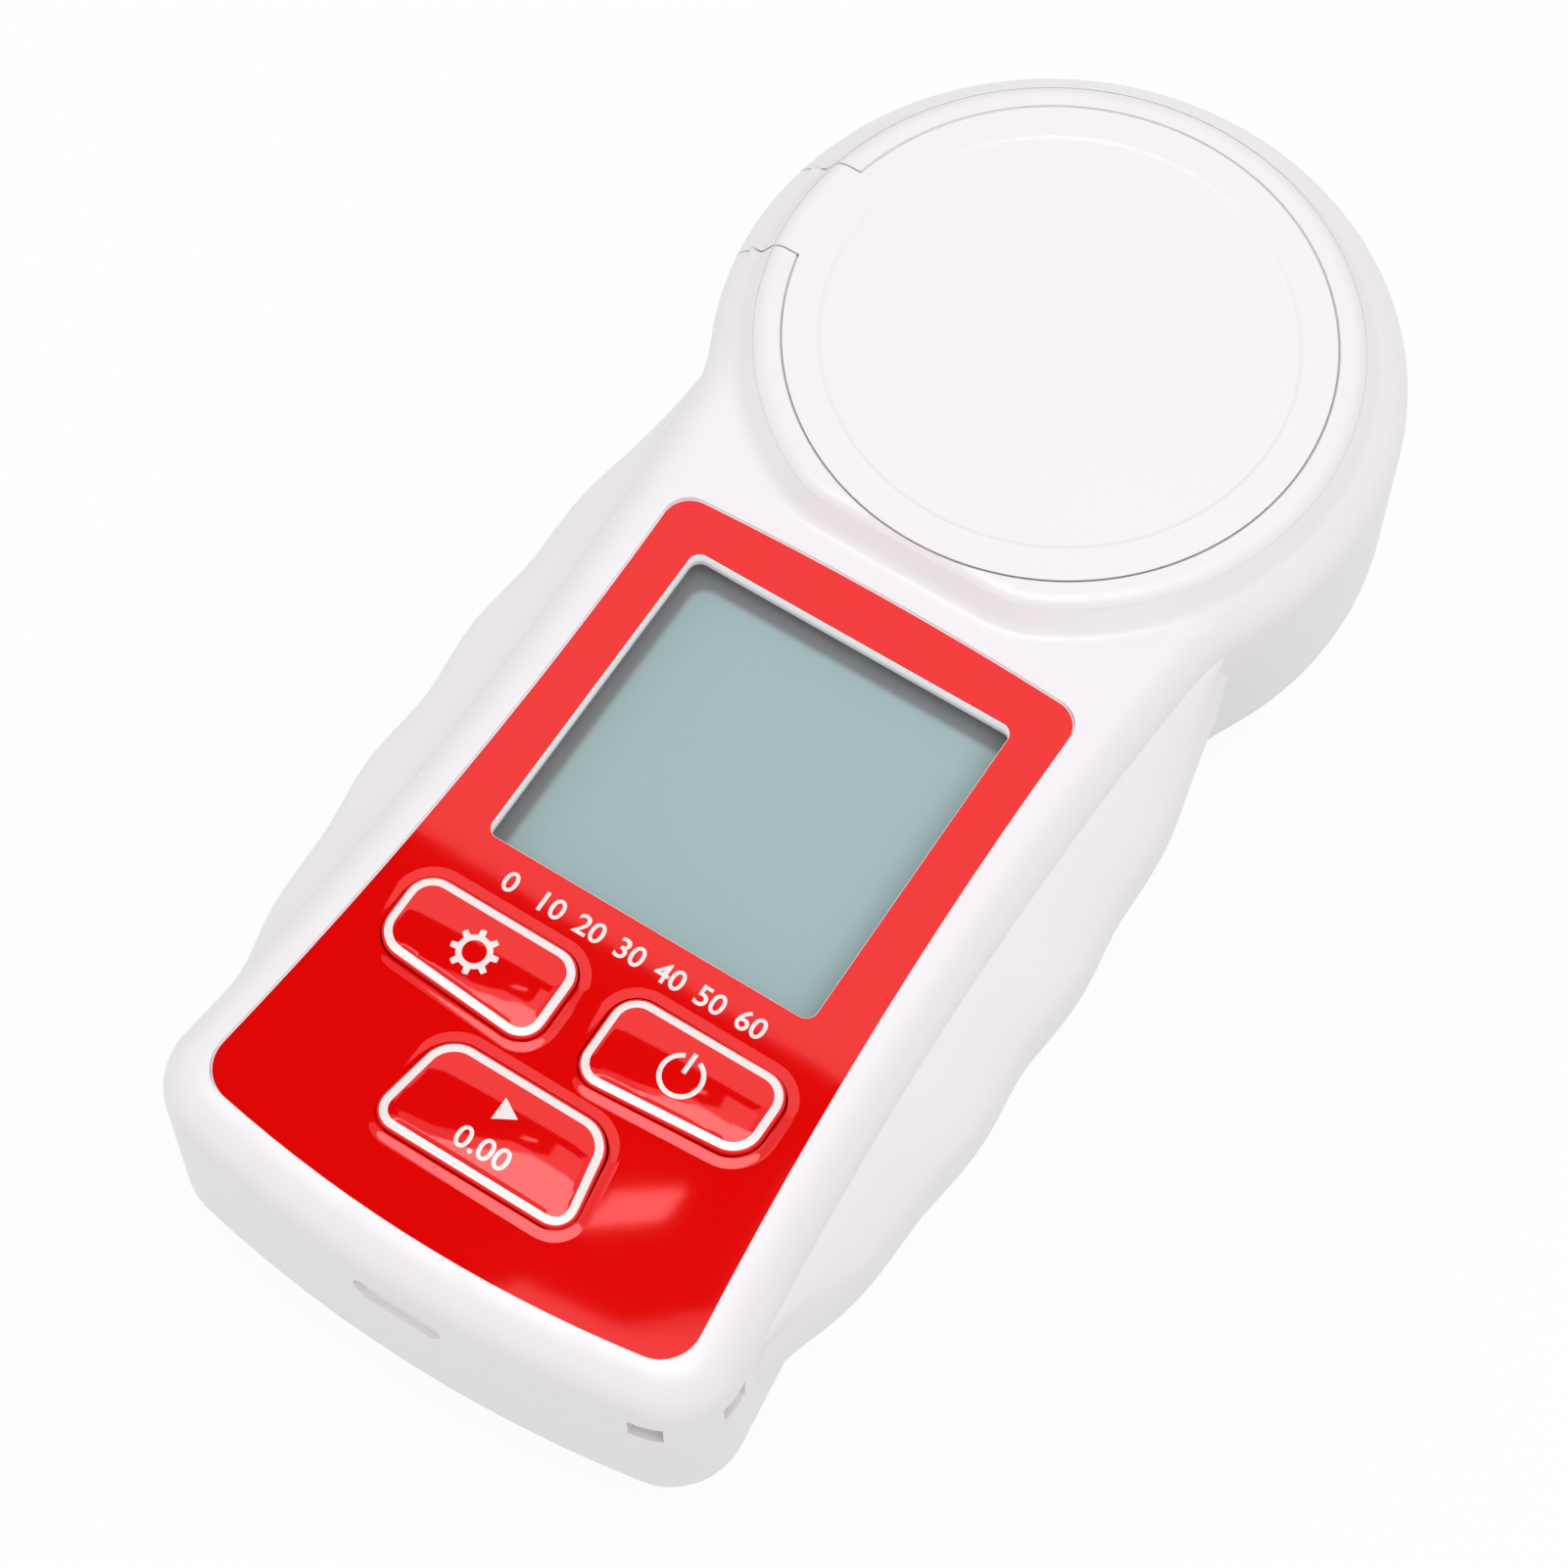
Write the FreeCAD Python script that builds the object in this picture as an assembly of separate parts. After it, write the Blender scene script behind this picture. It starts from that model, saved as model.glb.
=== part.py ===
import FreeCAD, Part

import math
import os

# Handheld digital refractometer. Origin at the bottom centre, +Y towards the round head,
# +Z out of the face with the window and the keys. Every size is in millimetres.

# Head and body outline
HEAD_Y = 32.4
HEAD_R = 28.3
HEAD_AHEAD = 0.35
TAIL_Y = -61.1
TAIL_BOW = 3.0
TAIL_X = 25.6
TAIL_CORNER_R = 6.0
SIDE_TOP_IN = 4.1
SIDE_TOP_DROP = 12.4
SIDE_RUN_IN = 4.0
SIDE_MID_X = 22.5
SIDE_MID_Y = -10.0
NECK_R = 15.0
BODY_TOP = 22.4
TOP_EDGE_R = 3.5
BOTTOM_EDGE_R = 5.0

# Shells
WALL = 2.0
FLOOR = 2.0
CEILING = 1.9
SPLIT_Z = 5.0
TONGUE_H = 1.2
TONGUE_T = 0.9
SHELL_FIT = 0.1
CASE_SEAL_T = 0.6

# Grip wings on both sides, with shallow finger waves along their edge
GRIP_MID_Y = -16.5
GRIP_TOP_HALF = 36.0
GRIP_END_HALF = 34.5
GRIP_PEAK_X = 28.4
GRIP_END_DROP = 4.3
GRIP_END_TUCK = 0.7
GRIP_WAVE = 0.28
GRIP_PITCH = 14.6
GRIP_WAVE_Y = -10.1
GRIP_EDGE_Z = 13.6
GRIP_CREASE_Z = 19.3
GRIP_CREASE_DIP = 0.3
GRIP_ROOT_RISE = 0.35
GRIP_BULGE = 0.75
GRIP_ROUND = 1.5
GRIP_WALL_LEAN = 0.5
GRIP_TUCK_X = 2.2
GRIP_TUCK_Z = 3.2
GRIP_FOOT_X = 1.0
GRIP_FOOT_Z = 0.8
GRIP_STATIONS = 25

# Raised round platform with the lid let into it
LID_TOP_Z = 25.0
PLATFORM_RIM = 2.5
PLATFORM_CUT = 1.8
PLATFORM_CORNER_R = 9.0
PLATFORM_EDGE_R = 1.6
SEAM_R = 22.4
SEAM_GAP = 0.22
LID_LAND = 0.1
LID_T = 1.6
LID_TAPER = 1.15
LID_LIFT = 0.15
LID_STEP_IN = 3.3
LID_STEP = 0.15
LID_SKIRT_IN = 1.2
LID_SKIRT_H = 0.8
LID_SKIRT_T = 0.9

# Lid hinge on the -X side of the head
HINGE_X = 26.1
HINGE_Z = 19.3
BARREL_R = 2.2
BARREL_CLEAR = 0.4
POCKET_R = 3.5
TAB_W = 9.3
TAB_GAP = 0.15
TAB_T = 2.6
TAB_ROOT = 1.0
PIN_R = 0.75
PIN_LENGTH = 13.0
PIN_PRESS = 0.02
PIN_RUN = 0.05
CHEEK_T = 3.4
POCKET_WALL = 1.4
POCKET_LIP = 0.8

# Sample well, its steel dish, the prism and the seals
WELL_IN = 2.8
WELL_WALL = 2.4
FLANGE_GAP = 0.3
FLANGE_Z = 21.0
STAGE_LAND = 2.2
STAGE_SEAL_T = 0.3
DISH_IN = 1.6
DISH_FLAT_R = 9.0
DISH_T = 0.6
DISH_DEPTH = 1.8
PRISM_R = 4.8
PRISM_HOLE_R = 5.0
PRISM_RECESS = 0.1
PRISM_FLANGE_R = 6.6
PRISM_FLANGE_T = 1.2
PRISM_SEAL_T = 0.4
PRISM_BODY_W = 8.0
PRISM_BODY_H = 6.5
PRISM_FOOT_W = 4.4
PRISM_DEPTH = 6.0
LID_SEAL_IN = 1.0
LID_SEAL_W = 1.7
LID_REST = 0.05

# Front film with its window
FILM_TOP_Z = 22.15
FILM_T = 0.5
FILM_TOP_Y = 6.0
FILM_TOP_BOW = 0.6
FILM_TOP_X = 18.6
FILM_MID_X = 18.45
FILM_MID_Y = -10.0
FILM_END_X = 21.5
FILM_END_Y = -57.4
FILM_END_BOW = 2.1
FILM_TOP_CORNER_R = 2.3
FILM_END_CORNER_R = 3.2
FILM_GAP = 0.12
WINDOW_W = 29.3
WINDOW_TOP_Y = 1.7
WINDOW_END_Y = -27.5
WINDOW_CORNER_R = 1.0

# Display
PANE_T = 0.8
PANE_MARGIN = 1.1
LCD_MARGIN = 0.6
LCD_T = 1.8
LCD_GAP = 0.05
LCD_FIT = 0.1
LCD_HOLDER_WALL = 0.8
LCD_SHELF_W = 2.4
STRIP_W = 1.6

# Keys: the upper row is a mirrored pair, the test key stands below it
KEY_TOP_Z = 22.95
KEY_CROWN = 0.25
KEY_EDGE_R = 0.35
KEY_GAP = 0.2
KEY_CORNER_R = 2.4
KEY_FLANGE = 0.8
KEY_FLANGE_T = 0.9
KEY_REST_GAP = 0.05
ROW_IN_X = 1.65
ROW_OUT_X = 16.8
ROW_TOP_Y = -32.5
ROW_IN_Y = -40.8
ROW_OUT_Y = -39.7
TEST_TOP_X = 7.5
TEST_END_X = 9.1
TEST_TOP_Y = -42.7
TEST_END_Y = -51.6
SWITCH_W = 6.0
SWITCH_H = 3.4
SWITCH_CORNER_R = 0.4
PLUNGER_R = 1.75
PLUNGER_GUIDE = 0.8
PLUNGER_RUN = 0.12

# Main circuit board
BOARD_Z = 12.9
BOARD_T = 1.2
BOARD_INSET = 2.6
BOARD_TOP_Y = 12.0
BOSS_CLEAR = 0.5
MCU_W = 10.0
MCU_H = 1.4
MCU_Y = -13.0
MCU_DOT_R = 0.5
MCU_DOT_IN = 1.2
MCU_DOT_DEPTH = 0.1
CHIP_CORNER_R = 0.3
PART_SIZES = ((2.0, 1.2), (3.2, 1.6), (2.0, 1.2), (5.0, 3.2), (2.0, 1.2), (3.2, 2.5))
PART_PITCH = 4.4
PART_H = 0.9
PART_Y = -31.3
BUZZER_R = 3.4
BUZZER_H = 3.0
BUZZER_HOLE_R = 0.8
BUZZER_X = 10.0
BUZZER_Y = -45.4
CRYSTAL_W = 3.6
CRYSTAL_L = 6.4
CRYSTAL_H = 2.4
SOCKET_W = 2.6
SOCKET_L = 4.4
SOCKET_H = 2.8
SOCKET_FLOOR = 0.5
SOCKET_Y = 8.6

# Screws and their bosses
BOSS_R = 2.8
BOSS_EXTRA = 0.6
BOSS_ROOT = 0.5
BOSS_SPOTS = ((17.0, -48.5), (17.5, 10.0), (16.5, 49.0))
SCREW_R = 1.1
SCREW_LENGTH = 11.0
SCREW_HEAD_R = 2.1
SCREW_HEAD_H = 1.6
SCREW_SINK = 1.0
SCREW_DRIVE = 0.8
SCREW_FIT = 0.02
SCREW_RUN = 0.3
POST_R = 1.9
POST_GAP = 0.15
POST_SIDE_YS = (-14.0, 2.4)
POST_TAIL_SPOT = (11.0, -55.0)
POST_SCREW_R = 0.8
POST_SCREW_LENGTH = 5.0
POST_HEAD_R = 1.7
POST_HEAD_H = 1.1

# Battery bay with two cells side by side, and its door
CELL_R = 5.25
CELL_LENGTH = 44.5
CELL_NUB_R = 1.9
CELL_NUB_H = 0.8
CELL_GAP = 0.5
CELL_EDGE = 0.3
CELL_Z = 7.2
BAY_MID_Y = -29.0
BAY_END_GAP = 2.2
BAY_WALL = 1.2
BAY_FOOT = 1.4
BAY_FOOT_ROOF = 0.8
BAY_TOP_Z = 10.0
SPRING_TURNS = 2
SPRING_STEPS = 12
SPRING_R = 2.6
SPRING_WIRE = 0.2
CONTACT_T = 0.4
CONTACT_W = 8.0
CONTACT_H = 6.0
DOOR_T = 1.4
DOOR_SINK = 0.3
DOOR_GAP = 0.2
DOOR_LIP_GAP = 0.1
DOOR_SHELF = 1.0
DOOR_CORNER_R = 2.0
DOOR_HOOK_W = 5.0
DOOR_HOOK_X = 7.0
DOOR_HOOK_REACH = 1.6
DOOR_HOOK_T = 0.7
DOOR_REST = 0.05
DOOR_RIDGE_Y = 3.0
DOOR_RIDGE_W = 9.0
LATCH_W = 7.0
LATCH_T = 0.8
LATCH_H = 2.4
LATCH_ROOT = 0.3
LATCH_BARB = 0.15
LATCH_BARB_H = 1.68
GRIP_RIDGE_R = 0.5
GRIP_RIDGES = 5
GRIP_RIDGE_PITCH = 1.8

# Optics under the prism
HOUSING_W = 22.0
HOUSING_D = 18.0
HOUSING_Z = 8.0
HOUSING_CORNER_R = 1.5
HOUSING_GAP = 0.15
LIGHT_Z = 14.5
LAMP_R = 1.5
LAMP_L = 4.0
LAMP_BOARD_W = 9.0
LENS_R = 2.6
LENS_T = 1.4
LENS_X = 5.4
LENS_BULGE = 0.5
SENSOR_BOARD_W = 15.0
SENSOR_BOARD_H = 9.0
SIDE_BOARD_Z = 9.2
SENSOR_BOARD_T = 1.0
SENSOR_W = 10.0
SENSOR_H = 2.6
SENSOR_T = 1.1
THERMISTOR_R = 0.9
THERMISTOR_L = 2.6
THERMISTOR_X = 8.2
THERMISTOR_Y = 6.4
RIBBON_W = 3.0
RIBBON_T = 0.3
EAR_R = 20.8
EAR_W = 5.6
EAR_T = 2.0
EAR_DROP = 1.0

# Recess in the tail wall and the corner eye for a wrist cord
PORT_W = 7.8
PORT_H = 3.3
PORT_DEPTH = 0.6
PORT_Z = 16.1
EYE = 2.6
EYE_Z = 16.3
EYE_X = 20.6
EYE_Y = -53.4
EYE_BEND_R = 5.2

BIG = 200.0
CUT_OVER = 2.0
END_FLAT = 0.05
SIDE_TOP_X = HEAD_R - SIDE_TOP_IN
PLATFORM_R = SEAM_R + PLATFORM_RIM
PLATFORM_CHORD = PLATFORM_R - PLATFORM_CUT
LID_STEP_R = SEAM_R - LID_STEP_IN
WELL_R = SEAM_R - WELL_IN
FLANGE_R = WELL_R - FLANGE_GAP
STAGE_HOLE_R = WELL_R - STAGE_LAND
DISH_R = STAGE_HOLE_R - DISH_IN
LID_SEAL_OUT_R = WELL_R - LID_SEAL_IN
LID_SEAL_IN_R = LID_SEAL_OUT_R - LID_SEAL_W
LID_SKIRT_R = DISH_R - LID_SKIRT_IN
POST_X = WINDOW_W / 2 + LCD_MARGIN + LCD_FIT + LCD_HOLDER_WALL + POST_GAP + POST_R
POST_SPOTS = tuple((POST_X, y) for y in POST_SIDE_YS) + (POST_TAIL_SPOT,)
LABEL_FLOOR_Z = FILM_TOP_Z - FILM_T
CEILING_Z = BODY_TOP - CEILING
BOARD_TOP_Z = BOARD_Z + BOARD_T
PANE_Z = CEILING_Z - PANE_T
LCD_TOP_Z = PANE_Z - LCD_GAP
LCD_Z = LCD_TOP_Z - LCD_T
STAGE_TOP_Z = FLANGE_Z + STAGE_SEAL_T + DISH_T
DISH_Z = STAGE_TOP_Z - DISH_DEPTH
PRISM_TOP_Z = DISH_Z - PRISM_RECESS
PRISM_FLANGE_Z = DISH_Z - DISH_T - PRISM_SEAL_T - PRISM_FLANGE_T
LID_LEDGE_Z = LID_TOP_Z - LID_T - LID_LIFT
KEY_FLANGE_TOP_Z = CEILING_Z - KEY_REST_GAP
KEY_BOTTOM_Z = KEY_FLANGE_TOP_Z - KEY_FLANGE_T
SWITCH_TOP_Z = BOARD_TOP_Z + SWITCH_H
BAY_LENGTH = CELL_LENGTH + 2 * BAY_END_GAP
BAY_TOP_Y = BAY_MID_Y + BAY_LENGTH / 2
BAY_END_Y = BAY_MID_Y - BAY_LENGTH / 2
BAY_HALF_W = 2 * CELL_R + 1.5 * CELL_GAP
CELL_X = CELL_R + CELL_GAP / 2
DOOR_TOP_Z = DOOR_SINK + DOOR_T
DOOR_LIP_Z = DOOR_TOP_Z - DOOR_HOOK_T - DOOR_LIP_GAP
DOOR_HOOK_R = math.hypot(DOOR_HOOK_REACH, DOOR_T)
BAY_FOOT_Z = DOOR_SINK + DOOR_HOOK_R + DOOR_GAP + BAY_FOOT_ROOF
TONGUE_TOP_Z = SPLIT_Z + TONGUE_H
SEAL_TOP_Z = TONGUE_TOP_Z + CASE_SEAL_T
SCREW_SEAT_Z = SCREW_SINK + SCREW_HEAD_H
SCREW_TIP_Z = SCREW_SEAT_Z + SCREW_LENGTH
LID_UNDER_Z = LID_TOP_Z - LID_T
PRISM_SEAT_Z = DISH_Z - DISH_T - PRISM_SEAL_T
EAR_Z = CEILING_Z - EAR_DROP - EAR_T
EYE_WALL_X = EYE_X - EYE / 2 - WALL / 2
EYE_WALL_Y = EYE_Y + EYE / 2 + WALL / 2


def vec(x, y, z=0.0):
    return FreeCAD.Vector(x, y, z)


def line(a, b):
    return Part.LineSegment(a, b).toShape()


def arc(a, b, c):
    return Part.Arc(a, b, c).toShape()


def prism(edges, z0, z1):
    """Closed outline drawn at z = 0, raised between two heights."""
    face = Part.Face(Part.Wire(edges))
    face.translate(vec(0, 0, z0))
    return face.extrude(vec(0, 0, z1 - z0))


def is_upright(edge):
    if not isinstance(edge.Curve, Part.Line):
        return False
    return abs(edge.tangentAt(edge.FirstParameter).z) > 0.999


def round_uprights(solid, radius, wanted=None):
    """Round the upright edges, or only those that the test function picks."""
    edges = [e for e in solid.Edges if is_upright(e)]
    if wanted is not None:
        edges = [e for e in edges if wanted(e.CenterOfMass)]
    return solid.makeFillet(radius, edges)


def edges_at(solid, z):
    found = []
    for edge in solid.Edges:
        box = edge.BoundBox
        if abs(box.ZMin - z) < 1e-4 and abs(box.ZMax - z) < 1e-4:
            found.append(edge)
    return found


def block(x0, x1, y0, y1, z0, z1, corner=0.0):
    box = Part.makeBox(x1 - x0, y1 - y0, z1 - z0, vec(x0, y0, z0))
    return round_uprights(box, corner) if corner > 0 else box


def rod(radius, z0, z1, x=0.0, y=0.0):
    return Part.makeCylinder(radius, z1 - z0, vec(x, y, z0))


def rod_along(axis, radius, length, centre):
    """Round rod of the given length, centred on a point, along a unit vector."""
    return Part.makeCylinder(radius, length, centre - axis * (length / 2), axis)


def ring(outer, inner, z0, z1, x=0.0, y=0.0):
    return rod(outer, z0, z1, x, y).cut(rod(inner, z0 - 1, z1 + 1, x, y))


def turned(points, x=0.0, y=0.0):
    """Solid of revolution about a vertical axis from radius and height pairs."""
    corners = [vec(r, 0, z) for r, z in points]
    wire = Part.makePolygon(corners + corners[:1])
    solid = Part.Face(wire).revolve(vec(0, 0), vec(0, 0, 1), 360)
    solid.translate(vec(x, y))
    return solid


def mirrored(shape):
    return shape.mirror(vec(0, 0), vec(1, 0))


def both_sides(shape):
    return [shape, mirrored(shape)]


def grown(points, distance):
    """Convex outline, listed anticlockwise, with every side moved outwards."""
    lines = []
    for a, b in zip(points, points[1:] + points[:1]):
        dx, dy = b[0] - a[0], b[1] - a[1]
        length = math.hypot(dx, dy)
        nx, ny = dy / length, -dx / length
        lines.append((nx, ny, nx * a[0] + ny * a[1] + distance))
    corners = []
    for (a1, b1, c1), (a2, b2, c2) in zip(lines[-1:] + lines[:-1], lines):
        det = a1 * b2 - a2 * b1
        corners.append(((c1 * b2 - c2 * b1) / det, (a1 * c2 - a2 * c1) / det))
    return corners


def plate(points, z0, z1, corner):
    corners = [vec(x, y) for x, y in points]
    edges = [line(a, b) for a, b in zip(corners, corners[1:] + corners[:1])]
    return round_uprights(prism(edges, z0, z1), corner)


def case_block(inset, z0, z1):
    """Body outline without the grips, moved inwards by a wall, between two heights."""
    top_y = HEAD_Y - SIDE_TOP_DROP + SIDE_RUN_IN
    top = side_x(top_y, inset)
    tail = TAIL_X - inset
    tail_y = TAIL_Y + TAIL_BOW + inset
    mid = SIDE_MID_X - inset
    edges = [
        line(vec(top, top_y), vec(-top, top_y)),
        arc(vec(-top, top_y), vec(-mid, SIDE_MID_Y), vec(-tail, tail_y)),
        arc(vec(-tail, tail_y), vec(0, TAIL_Y + inset), vec(tail, tail_y)),
        arc(vec(tail, tail_y), vec(mid, SIDE_MID_Y), vec(top, top_y)),
    ]
    handle = prism(edges, z0, z1)
    head = rod(HEAD_R - inset, z0, z1, 0, HEAD_Y + HEAD_AHEAD)
    body = head.fuse(handle).removeSplitter()
    body = round_uprights(body, TAIL_CORNER_R - inset, lambda p: p.y < TAIL_Y / 2)
    return round_uprights(body, NECK_R + inset, lambda p: p.y > 0 and abs(p.x) > TAIL_X / 2)


def core():
    body = case_block(0, 0, BODY_TOP)
    body = body.makeFillet(TOP_EDGE_R, edges_at(body, BODY_TOP))
    return body.makeFillet(BOTTOM_EDGE_R, edges_at(body, 0))


def side_x(y, inset=0.0):
    """Half width of the body beside the grips, on the arc of its side."""
    a = vec(SIDE_TOP_X - inset, HEAD_Y - SIDE_TOP_DROP)
    b = vec(SIDE_MID_X - inset, SIDE_MID_Y)
    c = vec(TAIL_X - inset, TAIL_Y + TAIL_BOW + inset)
    circle = arc(a, b, c).Curve
    across = max(circle.Radius ** 2 - (y - circle.Center.y) ** 2, 0.0)
    return circle.Center.x - math.sqrt(across)


def grip_along(y):
    """Place along a grip: 0 at its middle, 1 at either end."""
    half = GRIP_TOP_HALF if y > GRIP_MID_Y else GRIP_END_HALF
    return abs(y - GRIP_MID_Y) / half


def grip_edge_x(y):
    """Half width over the grips: a long bow with finger waves along it."""
    along = grip_along(y)
    bow = GRIP_PEAK_X - GRIP_END_DROP * along ** 3
    fade = max(1 - along * along, 0.0)
    wave = GRIP_WAVE * math.cos(2 * math.pi * (y - GRIP_WAVE_Y) / GRIP_PITCH)
    return bow + wave * fade


def grip_section(y):
    """Cross-section of a grip: crease, sloping top, finger edge, wall and underside."""
    side = side_x(y)
    edge = max(grip_edge_x(y), side - GRIP_END_TUCK)
    along = grip_along(y)
    edge_z = GRIP_EDGE_Z + (GRIP_CREASE_Z - GRIP_EDGE_Z) * 0.5 * along ** 4
    root = side - WALL - GRIP_FOOT_X
    top = vec(root, y, GRIP_CREASE_Z + GRIP_ROOT_RISE)
    points = [
        top,
        vec(side - GRIP_CREASE_DIP, y, GRIP_CREASE_Z - GRIP_CREASE_DIP),
        vec((side + edge) / 2, y, (GRIP_CREASE_Z + edge_z) / 2 + GRIP_BULGE),
        vec(edge - GRIP_ROUND / 3, y, edge_z + GRIP_ROUND),
        vec(edge, y, edge_z - GRIP_ROUND / 1.5),
        vec(edge - GRIP_WALL_LEAN, y, (edge_z + GRIP_TUCK_Z) / 2),
        vec(edge - GRIP_TUCK_X, y, GRIP_TUCK_Z),
        vec(side - GRIP_FOOT_X, y, GRIP_FOOT_Z),
    ]
    skin = Part.BSplineCurve()
    skin.interpolate(points)
    foot = vec(root, y, GRIP_FOOT_Z + GRIP_BULGE)
    return Part.Wire([skin.toShape(), line(points[-1], foot), line(foot, top)])


def grip():
    low = GRIP_MID_Y - GRIP_END_HALF
    step = (GRIP_END_HALF + GRIP_TOP_HALF) / (GRIP_STATIONS - 1)
    sections = [grip_section(low + step * i) for i in range(GRIP_STATIONS)]
    return Part.makeLoft(sections, True, False)


def platform():
    """Raised disc of the head, cut straight towards the window, with a rounded rim."""
    disc = rod(PLATFORM_R, BODY_TOP - CEILING / 2, LID_TOP_Z, 0, HEAD_Y)
    disc = disc.cut(block(-BIG, BIG, -BIG, HEAD_Y - PLATFORM_CHORD, -BIG, BIG))
    chord = HEAD_Y - PLATFORM_CHORD + 1
    disc = round_uprights(disc, PLATFORM_CORNER_R, lambda p: p.y < chord)
    return disc.makeFillet(PLATFORM_EDGE_R, edges_at(disc, LID_TOP_Z))


def outside():
    """The whole closed body with its grips and platform, as one solid."""
    return core().multiFuse(both_sides(grip()) + [platform()])


def film_block(inset, z0, z1):
    top = FILM_TOP_X - inset
    top_y = FILM_TOP_Y - FILM_TOP_BOW - inset
    end = FILM_END_X - inset
    end_y = FILM_END_Y + FILM_END_BOW + inset
    mid = FILM_MID_X - inset
    edges = [
        arc(vec(top, top_y), vec(0, FILM_TOP_Y - inset), vec(-top, top_y)),
        arc(vec(-top, top_y), vec(-mid, FILM_MID_Y), vec(-end, end_y)),
        arc(vec(-end, end_y), vec(0, FILM_END_Y + inset), vec(end, end_y)),
        arc(vec(end, end_y), vec(mid, FILM_MID_Y), vec(top, top_y)),
    ]
    film = prism(edges, z0, z1)
    film = round_uprights(film, FILM_TOP_CORNER_R, lambda p: p.y > FILM_MID_Y)
    return round_uprights(film, FILM_END_CORNER_R, lambda p: p.y < FILM_MID_Y)


def window_block(grow, z0, z1):
    half = WINDOW_W / 2 + grow
    return block(-half, half, WINDOW_END_Y - grow, WINDOW_TOP_Y + grow, z0, z1,
                 WINDOW_CORNER_R + max(grow, 0) / 2)


def row_points():
    """Corners of the right key of the upper row, anticlockwise."""
    return [(ROW_IN_X, ROW_IN_Y), (ROW_OUT_X, ROW_OUT_Y), (ROW_OUT_X, ROW_TOP_Y), (ROW_IN_X, ROW_TOP_Y)]


def test_points():
    return [(-TEST_END_X, TEST_END_Y), (TEST_END_X, TEST_END_Y), (TEST_TOP_X, TEST_TOP_Y),
            (-TEST_TOP_X, TEST_TOP_Y)]


def middle(points):
    xs = [p[0] for p in points]
    ys = [p[1] for p in points]
    return sum(xs) / len(xs), sum(ys) / len(ys)


def key_hole(points):
    return plate(grown(points, KEY_GAP), CEILING_Z - 1, KEY_TOP_Z + 1, KEY_CORNER_R + KEY_GAP)


def key(points):
    """Pushed key: a crowned cap in its hole, and a flange that holds it under the ceiling."""
    x, y = middle(points)
    cap = plate(points, KEY_BOTTOM_Z, KEY_TOP_Z + KEY_CROWN, KEY_CORNER_R)
    reach = (ROW_OUT_X - ROW_IN_X) / 2
    crown_r = (reach ** 2 + KEY_CROWN ** 2) / (2 * KEY_CROWN)
    ball = Part.makeSphere(crown_r, vec(x, y, KEY_TOP_Z + KEY_CROWN - crown_r))
    cap = cap.common(ball)
    rim = [e for e in cap.Edges if e.BoundBox.ZMin > KEY_TOP_Z - 1]
    cap = cap.makeFillet(KEY_EDGE_R, rim)
    flange = plate(grown(points, KEY_FLANGE), KEY_BOTTOM_Z, KEY_FLANGE_TOP_Z, KEY_CORNER_R + KEY_FLANGE)
    return cap.fuse(flange).removeSplitter()


def plunger(points):
    """Stem of the switch below a key, which travels with the key."""
    x, y = middle(points)
    return rod(PLUNGER_R, SWITCH_TOP_Z - PLUNGER_GUIDE / 2, KEY_BOTTOM_Z, x, y)


def key_outlines():
    left = [(-x, y) for x, y in reversed(row_points())]
    return [left, row_points(), test_points()]


def hinge_pocket():
    """Room for the lid's tab and its barrel, through the rim and the side of the head."""
    half = TAB_W / 2 + TAB_GAP
    barrel = rod_along(vec(0, 1), POCKET_R, 2 * half, vec(-HINGE_X, HEAD_Y, HINGE_Z))
    gap_z = LID_TOP_Z - TAB_T - LID_LIFT
    out_x = -HEAD_R - CUT_OVER
    over = block(out_x, -WELL_R - POCKET_LIP, HEAD_Y - half, HEAD_Y + half, gap_z, LID_TOP_Z + CUT_OVER)
    front = block(out_x, -HINGE_X + BARREL_R + BARREL_CLEAR, HEAD_Y - half, HEAD_Y + half,
                  HINGE_Z, LID_TOP_Z + CUT_OVER)
    return barrel.multiFuse([over, front])


def hinge_boss():
    half = TAB_W / 2 + TAB_GAP + CHEEK_T
    reach = POCKET_R + POCKET_WALL
    low = HINGE_Z - reach
    boss = block(-HEAD_R, -HINGE_X + reach, HEAD_Y - half, HEAD_Y + half, low, BODY_TOP)
    side_r = HEAD_R - WALL / 2
    top_z = BODY_TOP - WALL / 2
    room = turned([(0, low), (side_r, low), (side_r, BODY_TOP - TOP_EDGE_R), (HEAD_R - TOP_EDGE_R, top_z),
                   (0, top_z)], 0, HEAD_Y + HEAD_AHEAD)
    return boss.common(room)


def hinge_axis_rod(radius, length):
    return rod_along(vec(0, 1), radius, length, vec(-HINGE_X, HEAD_Y, HINGE_Z))


def sample_well():
    """Tapered seat of the lid, the well below it and the opening for the steel dish."""
    drop = LID_TOP_Z - LID_LEDGE_Z
    seat_r = SEAM_R - drop * LID_TAPER + LID_LAND
    profile = [(0, LID_TOP_Z + 1), (SEAM_R, LID_TOP_Z + 1), (SEAM_R, LID_TOP_Z - LID_LAND),
               (seat_r, LID_LEDGE_Z), (WELL_R, LID_LEDGE_Z), (WELL_R, FLANGE_Z),
               (STAGE_HOLE_R, FLANGE_Z), (STAGE_HOLE_R, CEILING_Z - 1), (0, CEILING_Z - 1)]
    return turned(profile, 0, HEAD_Y)


def well_support():
    """Thick ring under the platform that carries the dish and its seal."""
    return ring(WELL_R + WELL_WALL, STAGE_HOLE_R, CEILING_Z - 1, LID_LEDGE_Z, 0, HEAD_Y)


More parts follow.
